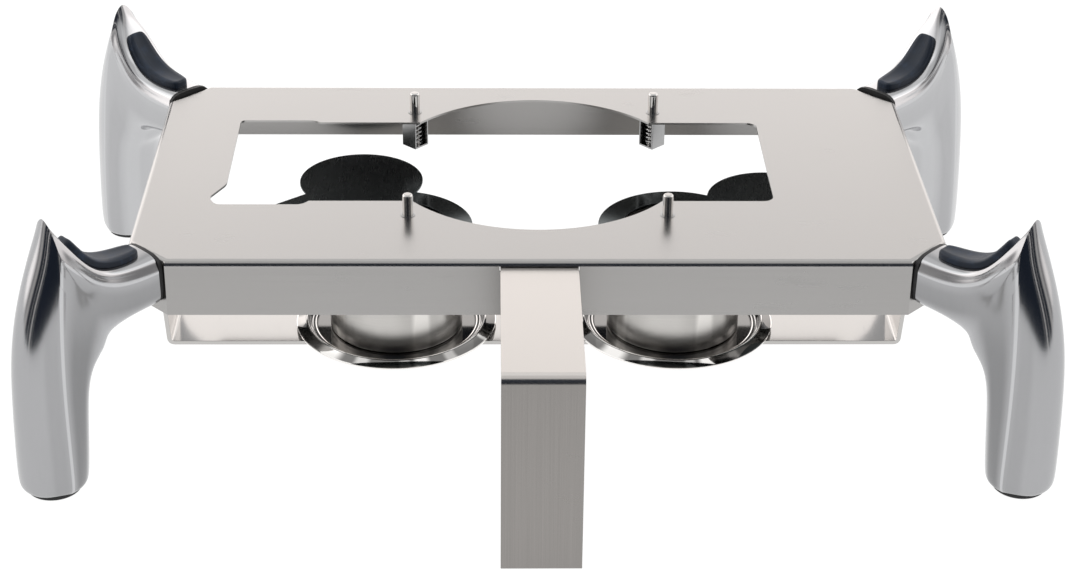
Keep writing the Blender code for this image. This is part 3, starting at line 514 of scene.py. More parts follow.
def make_finishes():
    colours = bpy.context.scene.warmer_colours
    # the plate and the front foot get painted shade below their level
    finishes["brushed_sheet"] = brushed_sheet(
        "brushed_sheet", colours.brushed, GRAIN_ALONG_X, 0.25, PLATE_TOP - 4 * MM, 0.86
    )
    finishes["brushed_strip"] = brushed_sheet(
        "brushed_strip", colours.strip, GRAIN_ALONG_STRIP, 0.25, strip_top() - 4 * MM, 0.4
    )
    finishes["mirror_sheet"] = mirror_sheet("mirror_sheet", colours.mirror)
    # painted reflection: lid and ring take a dark base colour for the shaded plate underside they
    # reflect
    finishes["lid_sheet_painted_dark"] = mirror_sheet("lid_sheet_painted_dark", colours.lid, 0.24)
    finishes["ring_sheet_painted_dark"] = mirror_sheet("ring_sheet_painted_dark", shade(colours.lid, 1.25), 0.14)
    finishes["shelf_sheet"] = mirror_sheet("shelf_sheet", shade(colours.mirror, 1.04), 0.07, -0.024)
    for side in SIDES:
        centre = middle(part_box("fuel_cup_" + side))
        finishes["satin_" + side] = satin_sheet("satin_sheet_" + side, colours.satin, centre)
        finishes["saucer_" + side] = saucer_sheet("saucer_sheet_" + side, colours.mirror, centre)
    finishes["polished_casting"] = polished_casting("polished_casting", colours.casting)
    finishes["plated_steel"] = plated_steel("plated_steel", colours.plated)
    finishes["black_gasket"] = black_rubber("black_gasket", colours.gasket)
    for corner in CORNERS:
        name = "navy_rubber_" + corner
        finishes[name] = saddle_rubber(name, colours.rubber, tuple(corner_axes(corner)[1]))


# Modelling helpers ----------------------------------------------------------------------------
def middle(box):
    return (box[0] + box[1]) / 2


def deselect():
    bpy.ops.object.select_all(action="DESELECT")


def activate(obj):
    deselect()
    obj.select_set(True)
    bpy.context.view_layer.objects.active = obj


def apply_modifier(obj, kind, **settings):
    activate(obj)
    modifier = obj.modifiers.new("step", kind)
    for key, value in settings.items():
        setattr(modifier, key, value)
    bpy.ops.object.modifier_apply(modifier=modifier.name)


def soften(obj, radius):
    """Rounds the sharp edges a little, so that they catch the light, and smooths the shading."""
    if radius:
        apply_modifier(
            obj, "BEVEL", width=radius, segments=2, limit_method="ANGLE", angle_limit=SMOOTH_ANGLE
        )
    activate(obj)
    bpy.ops.object.shade_smooth_by_angle(angle=SMOOTH_ANGLE)
    if radius:
        apply_modifier(obj, "WEIGHTED_NORMAL", keep_sharp=True, weight=100)


def settle(obj):
    """Moves an object's place into its mesh."""
    activate(obj)
    bpy.ops.object.transform_apply(location=True, rotation=True, scale=True)
    return obj


def place_piece(obj, name, nodes, slot, finish=None, body="root"):
    """Names a finished piece, gives it its finish and lets it stand for its CAD nodes."""
    obj.name = name
    obj.data.name = name
    obj.data.materials.clear()
    obj.data.materials.append(finishes[finish or slot])
    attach(obj, body)
    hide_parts(*nodes)
    return obj


def object_from(data):
    obj = bpy.data.objects.new(data.name, data)
    bpy.context.scene.collection.objects.link(obj)
    return obj


def edit_all(obj):
    """Opens a piece in edit mode with all of it selected."""
    activate(obj)
    bpy.ops.object.mode_set(mode="EDIT")
    bpy.ops.mesh.select_all(action="SELECT")


def refined(node, slot, finish=None, body="root", radius=FINE_EDGE, name=None):
    """A CAD node's shape with its triangles merged, flats joined, edges softened and shaded."""
    obj = object_from(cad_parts[node].data.copy())
    edit_all(obj)
    bpy.ops.mesh.remove_doubles(threshold=0.002 * MM)
    bpy.ops.mesh.dissolve_limited(angle_limit=math.radians(0.5))
    bpy.ops.object.mode_set(mode="OBJECT")
    soften(obj, radius)
    return place_piece(obj, name or node + ".finish", [node], slot, finish, body)


def turned(profile, at, steps):
    """Turns a profile of (radius, height) about an upright axis by extruding and scaling loops.
    A profile that starts or ends on the axis is capped there; any other closes on itself."""
    starts_on_axis, ends_on_axis = profile[0][0] == 0, profile[-1][0] == 0
    loops = [p for p in profile if p[0] > 0]
    closed = not (starts_on_axis or ends_on_axis)
    deselect()
    radius, height = loops[0]
    bpy.ops.mesh.primitive_circle_add(vertices=steps, radius=radius, location=(*at, height))
    obj = bpy.context.object
    bpy.ops.object.transform_apply(location=True)
    bpy.ops.object.mode_set(mode="EDIT")
    bpy.ops.mesh.select_all(action="SELECT")
    if starts_on_axis:
        bpy.ops.mesh.edge_face_add()
        bpy.ops.mesh.select_mode(type="EDGE")
    previous = loops[0]
    for radius, height in loops[1:] + (loops[:1] if closed else []):
        rise = height - previous[1]
        bpy.ops.mesh.extrude_edges_move(TRANSFORM_OT_translate={"value": (0, 0, rise)})
        scale = radius / previous[0]
        bpy.ops.transform.resize(value=(scale, scale, 1), center_override=(*at, height))
        previous = (radius, height)
    if ends_on_axis:
        bpy.ops.mesh.edge_face_add()
    bpy.ops.mesh.select_mode(type="VERT")
    bpy.ops.mesh.select_all(action="SELECT")
    bpy.ops.mesh.remove_doubles(threshold=0.001 * MM)
    bpy.ops.mesh.normals_make_consistent(inside=False)
    bpy.ops.object.mode_set(mode="OBJECT")
    return obj


def cut(target, cutter, operation="DIFFERENCE"):
    apply_modifier(target, "BOOLEAN", operation=operation, solver="EXACT", object=cutter)
    bpy.data.objects.remove(cutter)


def block(low, high):
    low, high = Vector(low), Vector(high)
    deselect()
    bpy.ops.mesh.primitive_cube_add(size=1, location=(low + high) / 2, scale=high - low)
    return settle(bpy.context.object)


def rod(radius, bottom, top, at, steps=64):
    deselect()
    bpy.ops.mesh.primitive_cylinder_add(
        vertices=steps, radius=radius, depth=top - bottom, location=(*at, (top + bottom) / 2)
    )
    return settle(bpy.context.object)


def pick(obj, kind, test):
    """Opens a piece in edit mode with only the edges or faces that pass the test selected."""
    activate(obj)
    bpy.ops.object.mode_set(mode="EDIT")
    bpy.ops.mesh.select_mode(type=kind)
    bm = bmesh.from_edit_mesh(obj.data)
    parts = bm.edges if kind == "EDGE" else bm.faces
    for part in parts:
        part.select_set(False)
    for part in parts:
        part.select_set(test(part))
    bmesh.update_edit_mesh(obj.data)


def arc(centre, radius, start, end, steps):
    """Points along an arc of (radius, height), angles in degrees."""
    angles = [math.radians(start + (end - start) * i / steps) for i in range(steps + 1)]
    return [(centre[0] + radius * math.cos(a), centre[1] + radius * math.sin(a)) for a in angles]


# The frame ------------------------------------------------------------------------------------
def corner_axes(corner):
    side_x, side_y = CORNERS[corner]
    out = Vector((side_x * math.cos(CORNER_ANGLE), side_y * math.sin(CORNER_ANGLE), 0))
    return out, Vector((0, 0, 1)).cross(out)


def corner_place(corner):
    """Maps (out, across, up) of a leg to the frame, with out square to the corner's face."""
    side_x, side_y = CORNERS[corner]
    out, across = corner_axes(corner)
    place = Matrix((out, across, (0, 0, 1))).transposed().to_4x4()
    place.translation = (CENTRE.x + side_x * CORNER_X, CENTRE.y + side_y * CORNER_Y, 0)
    return place


def bay_cutter():
    outline = [
        (BAY_START + OVERSHOOT, WINDOW_FRONT),
        (BAY_START + OVERSHOOT, WINDOW_BACK),
        (BAY_START, WINDOW_BACK),
        (BAY_START - BAY_STEP, BAY_BACK),
        (BAY_LEFT, BAY_BACK),
        (BAY_LEFT, FLARE_TOP),
        (BAY_LEFT - FLARE_REACH, (FLARE_TOP + 2 * BAY_FRONT) / 3),
        (BAY_LEFT - FLARE_REACH / 2, BAY_FRONT),
        (BAY_START - BAY_STEP, BAY_FRONT),
        (BAY_START, WINDOW_FRONT),
    ]
    mesh = bpy.data.meshes.new("bay")
    bottom = PLATE_TOP - SHEET - OVERSHOOT
    points = [(CENTRE.x + x, CENTRE.y + y, bottom) for x, y in outline]
    mesh.from_pydata(points, [], [tuple(range(len(points)))])
    obj = object_from(mesh)
    edit_all(obj)
    rise = SHEET + 2 * OVERSHOOT
    bpy.ops.mesh.extrude_region_move(TRANSFORM_OT_translate={"value": (0, 0, rise)})
    bpy.ops.mesh.select_all(action="SELECT")
    bpy.ops.mesh.normals_make_consistent(inside=False)
    bpy.ops.object.mode_set(mode="OBJECT")
    round_uprights(obj, lambda co: co.x < CENTRE.x + BAY_START - MM, BAY_CORNER)
    return obj


def round_uprights(obj, test, radius):
    """Rounds the upright edges of a cutter whose two ends pass the test."""

    def chosen(edge):
        first, second = (vert.co for vert in edge.verts)
        return abs(first.z - second.z) > MM and test(first) and test(second)

    pick(obj, "EDGE", chosen)
    bpy.ops.mesh.bevel(offset=radius, segments=BEND_STEPS, affect="EDGES", clamp_overlap=True)
    bpy.ops.object.mode_set(mode="OBJECT")


def window_cutters():
    low, high = PLATE_TOP - SHEET - OVERSHOOT, PLATE_TOP + OVERSHOOT
    main = block(
        (CENTRE.x + BAY_START, CENTRE.y + WINDOW_FRONT, low),
        (CENTRE.x + WINDOW_RIGHT, CENTRE.y + WINDOW_BACK, high),
    )
    round_uprights(main, lambda co: co.x > CENTRE.x + WINDOW_RIGHT - MM, WINDOW_CORNER)
    disc = rod(ARC_RADIUS, low, high, (CENTRE.x, CENTRE.y + ARC_CENTRE_Y), steps=256)
    return [main, disc, bay_cutter()]


def pin_places():
    return {corner: middle(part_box("locating_pin_" + corner))[:2] for corner in CORNERS}


class WARMER_OT_frame_plate(bpy.types.Operator):
    """Pressed plate: a cut-cornered block, bent edges, one sheet thick, with its openings"""

    bl_idname = "warmer.frame_plate"
    bl_label = "Frame plate"

    def execute(self, context):
        sizes = context.scene.warmer_sizes
        plate = block(FRAME_LOW, FRAME_HIGH)
        for corner in CORNERS:
            out, _ = corner_axes(corner)
            edit_all(plate)
            face = corner_place(corner).translation
            bpy.ops.mesh.bisect(plane_co=face, plane_no=out, use_fill=True, clear_outer=True)
            bpy.ops.object.mode_set(mode="OBJECT")
        pick(plate, "EDGE", lambda edge: min(v.co.z for v in edge.verts) > PLATE_TOP - 0.01 * MM)
        bpy.ops.mesh.bevel(offset=sizes.bend_radius, segments=BEND_STEPS, affect="EDGES")
        bpy.ops.object.mode_set(mode="OBJECT")
        pick(plate, "FACE", lambda face: face.normal.z < -0.9)
        bpy.ops.mesh.delete(type="FACE")
        bpy.ops.object.mode_set(mode="OBJECT")
        apply_modifier(plate, "SOLIDIFY", thickness=SHEET, offset=-1, use_even_offset=True)
        for cutter in window_cutters():
            cut(plate, cutter)
        for place in pin_places().values():
            cut(plate, rod(PIN_HOLE, PLATE_TOP - OVERSHOOT, PLATE_TOP + OVERSHOOT, place))
        strip_low, strip_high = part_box("stabiliser_foot")
        slot = block(
            (strip_low.x - SLOT_GAP, FRAME_LOW.y - OVERSHOOT, strip_top() - SLOT_DEPTH),
            (strip_high.x + SLOT_GAP, FRAME_LOW.y + SHEET + MM, strip_top() + SLOT_GAP),
        )
        cut(plate, slot)
        soften(plate, sizes.edge_radius)
        place_piece(plate, "pressed_plate", ["frame_plate"], "brushed_sheet")
        return {"FINISHED"}


def strip_top():
    """Height of the front foot's level stretch, read where it stands clear of the plate."""
    points = (v.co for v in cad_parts["stabiliser_foot"].data.vertices)
    return max(p.z for p in points if p.y < FRAME_LOW.y - 20 * MM)


class WARMER_OT_strips(bpy.types.Operator):
    """Bent strips: the stabiliser foot in front and the shelf that carries the burners"""

    bl_idname = "warmer.strips"
    bl_label = "Front foot and shelf"

    def execute(self, context):
        edge = context.scene.warmer_sizes.edge_radius
        refined("stabiliser_foot", "brushed_sheet", "brushed_strip", radius=edge, name="front_foot")
        refined("burner_shelf", "mirror_sheet", "shelf_sheet", radius=edge, name="hanging_shelf")
        return {"FINISHED"}


# The legs -------------------------------------------------------------------------------------
def smoothed(values):
    """A row of values made denser and then smoothed, with its two ends kept."""
    rows = np.arange(len(values))
    dense = np.interp(np.linspace(0, rows[-1], rows[-1] * ROW_STEPS + 1), rows, values)
    reach = int(3 * SOFTNESS)
    kernel = np.exp(-0.5 * (np.arange(-reach, reach + 1) / SOFTNESS) ** 2)
    before = 2 * dense[0] - dense[reach:0:-1]
    after = 2 * dense[-1] - dense[-2 : -reach - 2 : -1]
    return np.convolve(np.concatenate([before, dense, after]), kernel / kernel.sum(), "valid")


def leg_columns():
    """The leg's measures, ring by ring, in metres where they are lengths."""
    rows = [(*a, *b, half, *c, power, depth) for a, b, half, c, power, depth in LEG_SECTIONS]
    table = np.array(rows)
    columns = [smoothed(table[:, i]) for i in range(table.shape[1])]
    for i in (0, 1):
        rising = smoothed(table[: HORN_TIP + 1, i])
        falling = smoothed(table[HORN_TIP:, i])
        columns[i] = np.concatenate([rising, falling[1:]])
    columns = np.array(columns)
    columns[[0, 1, 2, 3, 4, 5, 6, 8]] *= MM
    row = np.arange(columns.shape[1]) / ROW_STEPS
    fill = ELBOW_FILL * np.exp(-(((row - ELBOW_ROW) / ELBOW_ROWS) ** 2))
    columns[5:7] -= fill * ELBOW_SHARE
    return columns.T


def leg_ring(outer, widest, half, inner, power, rounding):
    """One section: a super-ellipse outside, a faint ridge at the widest line, flat sides that are
    never thinner than the arm, and a rounded inner edge."""
    side = []
    for i in range(QUARTER_STEPS + 1):
        angle = math.pi / 2 * i / QUARTER_STEPS
        reach = max(math.cos(angle), 0) ** (2 / power)
        wide = half * math.sin(angle) ** (2 / power) * (1 - RIDGE * reach * (1 - reach) * 2)
        side.append((widest + (outer - widest) * reach, wide))
    flank = max(half, FLANK)
    depth = (inner - widest).length
    inward = (inner - widest).normalized()
    edge_power = 3 - rounding / half
    for i in range(1, QUARTER_STEPS + 1):
        rise = 1 - math.sin(math.pi / 2 * i / QUARTER_STEPS)
        from_inner = rounding * rise + (depth - rounding) * rise**1.6
        into = max(1 - from_inner / rounding, 0)
        share = min((depth - from_inner) / depth / 0.6, 1)
        wide = half + (flank - half) * share * share * (3 - 2 * share)
        wide *= (1 - into**edge_power) ** (1 / edge_power)
        side.append((inner - inward * from_inner, wide))
    ring = [(p.x, wide, p.y) for p, wide in side]
    return ring + [(p.x, -wide, p.y) for p, wide in reversed(side[1:-1])]


def loft(rings):
    """Joins rings with equally many points by faces, and closes both ends."""
    bm = bmesh.new()
    rows = [[bm.verts.new(point) for point in ring] for ring in rings]
    count = len(rows[0])
    for first, second in zip(rows, rows[1:]):
        for i in range(count):
            j = (i + 1) % count
            bm.faces.new((first[i], first[j], second[j], second[i]))
    bm.faces.new(reversed(rows[0]))
    bm.faces.new(rows[-1])
    bmesh.ops.recalc_face_normals(bm, faces=bm.faces)
    mesh = bpy.data.meshes.new("loft")
    bm.to_mesh(mesh)
    bm.free()
    around = [min(i, count - i) / (count / 2) for i in range(count)] * len(rows)
    mesh.attributes.new("around", "FLOAT", "POINT").data.foreach_set("value", around)
    return object_from(mesh)


class WARMER_OT_legs(bpy.types.Operator):
    """Cast legs: sections lofted from the foot over the horn to the arm"""

    bl_idname = "warmer.legs"
    bl_label = "Cast legs"

    def execute(self, context):
        rings = []
        for ax, az, bx, bz, half, cx, cz, power, rounding in leg_columns():
            outer, widest, inner = Vector((ax, az)), Vector((bx, bz)), Vector((cx, cz))
            rings.append(leg_ring(outer, widest, half, inner, power, rounding))
        for corner in CORNERS:
            leg = loft(rings)
            leg.data.transform(corner_place(corner))
            soften(leg, 0)
            place_piece(leg, "cast_leg_" + corner, ["leg_" + corner], "polished_casting")
        return {"FINISHED"}


PAD_STATIONS = 44
PAD_PROFILE_STEPS = 36
PAD_GROOVES = (-0.42, 0.0, 0.42)  # places across the pad, as shares of its half width
GROOVE_DEPTH = 0.4 * MM


def pad_rings(width, thickness):
    """Rings of a rubber strip along the saddle, crowned, grooved, with rounded ends."""
    line = [Vector((row[0], row[1])) for row in leg_columns()]
    rings = []
    for i in range(PAD_STATIONS):
        turn = math.pi * i / (PAD_STATIONS - 1)
        row = (PAD_FIRST + PAD_LAST) / 2 - (PAD_LAST - PAD_FIRST) / 2 * math.cos(turn)
        index = int(row * ROW_STEPS)
        share = row * ROW_STEPS - index
        point = line[index].lerp(line[index + 1], share)
        slope = (line[index + 3] - line[index - 3]).normalized()
        normal = Vector((slope.y, -slope.x))
        end = max(math.sin(turn), 0.02)
        half = width / 2 * end**0.42
        rise = thickness * min(1, 0.45 + 0.55 * (end / 0.3) ** 0.6)
        ring = []
        for step in range(PAD_PROFILE_STEPS + 1):
            angle = math.pi * step / PAD_PROFILE_STEPS
            wide = math.copysign(abs(math.cos(angle)) ** 0.32, math.cos(angle))
            high = math.sin(angle) ** 0.32 if 0 < step < PAD_PROFILE_STEPS else 0
            groove = sum(math.exp(-(((wide - g) / 0.05) ** 2)) for g in PAD_GROOVES)
            crown = 1 - 0.06 * wide * wide
            lift = rise * high * crown - GROOVE_DEPTH * groove * min(1, end * 2) * (high > 0.9)
            place = point + normal * lift
            ring.append((place.x, half * wide, place.y))
        rings.append(ring)
    return rings


class WARMER_OT_saddle_pads(bpy.types.Operator):
    """Rubber pads that lie in the legs' saddles"""

    bl_idname = "warmer.saddle_pads"
    bl_label = "Saddle pads"

    def execute(self, context):
        sizes = context.scene.warmer_sizes
        rings = pad_rings(sizes.pad_width, sizes.pad_thickness)
        for corner in CORNERS:
            pad = loft(rings)
            pad.data.transform(corner_place(corner))
            soften(pad, 0)
            name, nodes = "rubber_saddle_" + corner, ["saddle_pad_" + corner]
            place_piece(pad, name, nodes, "navy_rubber", "navy_rubber_" + corner)
        return {"FINISHED"}


FOOT_STEM, FOOT_PAD, FOOT_HEIGHT, FOOT_CHAMFER = 5 * MM, 17.6 * MM, 2.8 * MM, 0.6 * MM


class WARMER_OT_corner_fittings(bpy.types.Operator):
    """Foot pads, gaskets and the socket-head bolts of each leg"""

    bl_idname = "warmer.corner_fittings"
    bl_label = "Feet, gaskets and bolts"

    def execute(self, context):
        for corner in CORNERS:
            self.add_foot(corner)
            refined("leg_gasket_" + corner, "black_gasket", radius=0)
            for level in ("lower", "upper"):
                refined(f"leg_bolt_{level}_{corner}", "plated_steel")
        return {"FINISHED"}

    def add_foot(self, corner):
        low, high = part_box("foot_pad_" + corner)
        profile = [
            (0, high.z), (FOOT_STEM, high.z), (FOOT_STEM, FOOT_HEIGHT), (FOOT_PAD, FOOT_HEIGHT),
            (FOOT_PAD, low.z + FOOT_CHAMFER), (FOOT_PAD - FOOT_CHAMFER, low.z), (0, low.z),
        ]
        foot = turned(profile, middle((low, high))[:2], 64)
        soften(foot, 0.1 * MM)
        place_piece(foot, "rubber_foot_" + corner, ["foot_pad_" + corner], "black_gasket")


# The sprung pins ------------------------------------------------------------------------------
PIN_RADIUS, PIN_CROWN, PIN_CHAMFER, PIN_TRAVEL = 3.6 * MM, 1.8 * MM, 0.6 * MM, 9 * MM
BUSH_BORE, BUSH_WALL, BUSH_RIM = 3.75 * MM, 4.7 * MM, 5 * MM  # radii
RIM_LOW, RIM_HIGH = 0.05 * MM, 0.4 * MM  # a bush's rim above the plate


def pin_profile(low, high):
    return [
        (0, high.z),
        *arc((PIN_RADIUS - PIN_CROWN, high.z - PIN_CROWN), PIN_CROWN, 80, 0, 6),
        (PIN_RADIUS, low.z + PIN_CHAMFER),
        (PIN_RADIUS - PIN_CHAMFER, low.z),
        (0, low.z),
    ]


SPRING_TURNS = 6
SPRING_POINTS = 28  # in each turn
WIRE_RADIUS = 0.55 * MM


def coil(low, high):
    """A spring between two heights, from a bevelled curve that is made a mesh."""
    centre = middle((low, high))
    radius = (high.x - low.x) / 2 - WIRE_RADIUS
    bottom, top = low.z + WIRE_RADIUS, high.z - WIRE_RADIUS
    curve = bpy.data.curves.new("coil", "CURVE")
    curve.dimensions = "3D"
    curve.bevel_depth = WIRE_RADIUS
    curve.bevel_resolution = 2
    curve.use_fill_caps = True
    spline = curve.splines.new("POLY")
    count = SPRING_TURNS * SPRING_POINTS + 1
    spline.points.add(count - 1)
    for i, point in enumerate(spline.points):
        angle = 2 * math.pi * i / SPRING_POINTS
        height = bottom + (top - bottom) * i / (count - 1)
        x, y = centre.x + radius * math.cos(angle), centre.y + radius * math.sin(angle)
        point.co = (x, y, height, 1)
    obj = object_from(curve)
    activate(obj)
    bpy.ops.object.convert(target="MESH")
    return obj


class WARMER_OT_locating_pins(bpy.types.Operator):
    """Sprung pins with their bushes, clips, springs and brackets"""

    bl_idname = "warmer.locating_pins"
    bl_label = "Locating pins"

    def execute(self, context):
        steps = context.scene.warmer_sizes.turned_steps // 2
        for corner in CORNERS:
            low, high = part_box("locating_pin_" + corner)
            pin = turned(pin_profile(low, high), middle((low, high))[:2], steps)
            soften(pin, 0.12 * MM)
            name, nodes = "sprung_pin_" + corner, ["locating_pin_" + corner]
            place_piece(pin, name, nodes, "mirror_sheet", body="pin_" + corner)
            low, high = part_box("pin_spring_" + corner)
            spring = coil(low, high)
            soften(spring, 0)
            place_piece(spring, "coil_spring_" + corner, ["pin_spring_" + corner], "plated_steel")
            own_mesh(spring)
            self.add_bush(corner, steps)
            refined("pin_bracket_" + corner, "plated_steel")
            refined("pin_clip_" + corner, "plated_steel", body="pin_" + corner)
        return {"FINISHED"}

    def add_bush(self, corner, steps):
        low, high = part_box("pin_bush_" + corner)
        rim_low, rim_high = PLATE_TOP + RIM_LOW, PLATE_TOP + RIM_HIGH
        profile = [
            (BUSH_BORE, rim_high), (BUSH_RIM, rim_high), (BUSH_RIM, rim_low), (BUSH_WALL, rim_low),
            (BUSH_WALL, low.z), (BUSH_BORE, low.z),
        ]
        bush = turned(profile, middle((low, high))[:2], steps)
        soften(bush, 0.08 * MM)
        place_piece(bush, "guide_bush_" + corner, ["pin_bush_" + corner], "plated_steel")


# The burners ----------------------------------------------------------------------------------
def saucer_profile(low, radius, cup_radius):
    """A flat floor, two small steps, a steep wall with a round crest and a lip that falls away."""
    sheet = 1 * MM
    floor = cup_radius + 9.6 * MM
    wall = floor + 4.4 * MM
    crest = wall + 2.8 * MM
    upper = [
        (0, sheet),
        (floor, sheet),
        (floor + 0.7 * MM, sheet + 1.1 * MM),
        (floor + 1.3 * MM, sheet + 1.3 * MM),
        (wall - 0.8 * MM, sheet + 1.4 * MM),
        (wall - 0.2 * MM, sheet + 1.9 * MM),
        (wall + 0.9 * MM, sheet + 4 * MM),
        (wall + 1.5 * MM, sheet + 4.8 * MM),
        (crest - 0.6 * MM, sheet + 5.15 * MM),
        (crest, sheet + 5.2 * MM),
        (crest + 1.4 * MM, sheet + 4.8 * MM),
        (radius - 4 * MM, sheet + 3.4 * MM),
        (radius, sheet + 2.2 * MM),
    ]
    lower = [
        (radius, 2.2 * MM),
        (crest + 0.6 * MM, 5 * MM),
        (wall + 2.4 * MM, 4.6 * MM),
        (wall + 0.6 * MM, 1.3 * MM),
        (floor + 1 * MM, 0),
        (0, 0),
    ]
    return [(r, z + low.z) for r, z in upper + lower]


class WARMER_OT_burners(bpy.types.Operator):
    """Drip saucers, fuel cups and their top rings"""

    bl_idname = "warmer.burners"
    bl_label = "Fuel holders"

    def execute(self, context):
        steps = context.scene.warmer_sizes.turned_steps
        for side in SIDES:
            cup_low, cup_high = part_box("fuel_cup_" + side)
            centre = middle((cup_low, cup_high))[:2]
            radius = (cup_high.x - cup_low.x) / 2
            low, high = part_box("drip_saucer_" + side)
            saucer = turned(saucer_profile(low, (high.x - low.x) / 2, radius), centre, steps)
            soften(saucer, 0.12 * MM)
            name, nodes = "saucer_" + side, ["drip_saucer_" + side]
            place_piece(saucer, name, nodes, "mirror_sheet", "saucer_" + side)
            self.add_cup(side, centre, radius, cup_low.z, cup_high.z, steps)
            self.add_ring(side, centre, radius, steps)
        return {"FINISHED"}

    def add_cup(self, side, centre, radius, bottom, top, steps):
        sheet, heel = 0.8 * MM, 1.6 * MM
        profile = [
            (0, bottom + sheet),
            (radius - sheet, bottom + sheet),
            (radius - sheet, top),
            (radius, top),
            (radius, bottom + heel),
            *arc((radius - heel, bottom + heel), heel, -20, -90, 4),
            (0, bottom),
        ]
        cup = turned(profile, centre, steps)
        soften(cup, 0.12 * MM)
        place_piece(cup, "cup_" + side, ["fuel_cup_" + side], "satin_sheet", "satin_" + side)

    def add_ring(self, side, centre, cup_radius, steps):
        low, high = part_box("burner_ring_" + side)
        outer, sheet = (high.x - low.x) / 2, 1.2 * MM
        skirt, wall, hole = cup_radius - 1.1 * MM, 0.8 * MM, 38 * MM
        profile = [
            (hole, high.z),
            (outer, high.z),
            (outer, high.z - sheet),
            (skirt, high.z - sheet),
            (skirt, low.z),
            (skirt - wall, low.z),
            (skirt - wall, high.z - sheet),
            (hole, high.z - sheet),
        ]
        ring = turned(profile, centre, steps)
        soften(ring, 0.2 * MM)
        name, nodes = "top_ring_" + side, ["burner_ring_" + side]
        place_piece(ring, name, nodes, "mirror_sheet", "ring_sheet_painted_dark")
        refined("lid_rivet_" + side, "plated_steel")


LID_OPEN = {"left": 129.7, "right": -209.0}  # degrees that each lid stands open
PIVOT = (30 * MM, 29 * MM)  # from the burner's centre
LID_RADIUS, HANDLE_WIDTH, HANDLE_REACH = 45 * MM, 15.5 * MM, 85 * MM


class WARMER_OT_lids(bpy.types.Operator):
    """Swinging lids: a disc with a straight handle, turned open about its rivet"""

    bl_idname = "warmer.lids"
    bl_label = "Lids"

    def execute(self, context):
        steps = context.scene.warmer_sizes.turned_steps
        for side, sign in SIDES.items():
            low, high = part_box("burner_lid_" + side)
            burner = middle(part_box("fuel_cup_" + side))
            lid = rod(LID_RADIUS, low.z, high.z, (0, 0), steps)
            half = HANDLE_WIDTH / 2
            cut(lid, block((-half, 0, low.z), (half, HANDLE_REACH - half, high.z)), "UNION")
            cut(lid, rod(half, low.z, high.z, (0, HANDLE_REACH - half)), "UNION")
            pivot = Matrix.Translation((sign * PIVOT[0], PIVOT[1], 0))
            turn = Matrix.Rotation(math.radians(LID_OPEN[side]), 4, "Z")
            to_burner = Matrix.Translation((burner.x, burner.y, 0))
            lid.data.transform(to_burner @ pivot @ turn @ pivot.inverted())
            soften(lid, 0.2 * MM)
            name, nodes = "lid_" + side, ["burner_lid_" + side]
            place_piece(lid, name, nodes, "mirror_sheet", "lid_sheet_painted_dark", "lid_" + side)
        return {"FINISHED"}


# The stage ------------------------------------------------------------------------------------
LENS, SENSOR_WIDTH = 78.11, 36  # millimetres
CAMERA_PLACE = (-31.03 * MM, -1448.86 * MM, 852.14 * MM)
CAMERA_PITCH, CAMERA_YAW, CAMERA_ROLL = 28.41, -1.34, 0.65  # degrees
FLOOR_FRONT, FLOOR_BACK, FLOOR_HALF = -0.62, 6.0, 4.0
SOFTBOX_PLACE, SOFTBOX_TARGET = (0, 0.7, 1.9), (0, 0.05, 0.1)
SOFTBOX_SIZE, SOFTBOX_WATTS = (2.6, 1.4), 3


def make_floor():
    deselect()
    middle_y = (FLOOR_FRONT + FLOOR_BACK) / 2
    bpy.ops.mesh.primitive_plane_add(size=1, location=(0, middle_y, -0.2 * MM))
    floor = bpy.context.object
    floor.name = "floor"
    floor.scale = (2 * FLOOR_HALF, FLOOR_BACK - FLOOR_FRONT, 1)
    settle(floor)
    material = bpy.data.materials.new("pale_floor")
    material.use_nodes = True
    tree = material.node_tree
    tree.nodes.remove(tree.nodes["Principled BSDF"])
    graph = Graph(tree)
    cloud = graph.noise(graph.place(), 2.0, 1.0)
    glow = graph.node("ShaderNodeEmission", None, {"Strength": 0.97 + cloud * 0.02})
    soft = graph.node("ShaderNodeBsdfDiffuse", None, {"Color": (0.1, 0.1, 0.1, 1)})
    both = graph.node("ShaderNodeAddShader", None, {0: glow, 1: soft})
    graph.feed(tree.nodes["Material Output"], {"Surface": both})
    floor.data.materials.append(material)


# Bright upright strips in the dark room: bearing in radians, half width and strength.
ROOM_STRIPS = (
    (-1.2, 0.1, 0.45), (-0.86, 0.03, 0.25), (-0.62, 0.045, 0.6), (-0.45, 0.015, 0.3),
    (0.45, 0.015, 0.3), (0.62, 0.045, 0.6), (0.86, 0.03, 0.25), (1.2, 0.1, 0.45),
)


def make_world():
    """White behind and above, and a dark room with a few bright strips on the viewer's side, which
    only reflections show: what looks at the world itself sees plain white."""
    world = bpy.data.worlds.new("studio")
    bpy.context.scene.world = world
    world.use_nodes = True
    tree = world.node_tree
    graph = Graph(tree)
    direction = graph.node("ShaderNodeTexCoord", out="Generated")
    x, y, z = (graph.part(direction, axis) for axis in "XYZ")
    front = (y * -1).between(-0.02, 0.3)
    room = front * (1 - z.between(0.58, 0.82))
    wall = graph.tint(z.between(0.3, 0.64), (1.9, 1.82, 1.78), (0.8, 0.8, 0.8))
    sides = (x * x).between(0.12, 0.4) * z.between(0.3, 0.55)
    lit = graph.vector("SCALE", {0: wall, "Scale": 1 - x * 0.14 + sides * 1.2})
    glow = strips(graph.bearing(direction), ROOM_STRIPS)
    dark = graph.tint(glow, (0.02, 0.027, 0.042), (1.5, 1.45, 1.4))
    seen = graph.node("ShaderNodeLightPath", out="Is Camera Ray")
    shown = graph.mix(seen, graph.mix(room, lit, dark), (1, 1, 1, 1))
    graph.feed(tree.nodes["Background"], {"Color": shown})


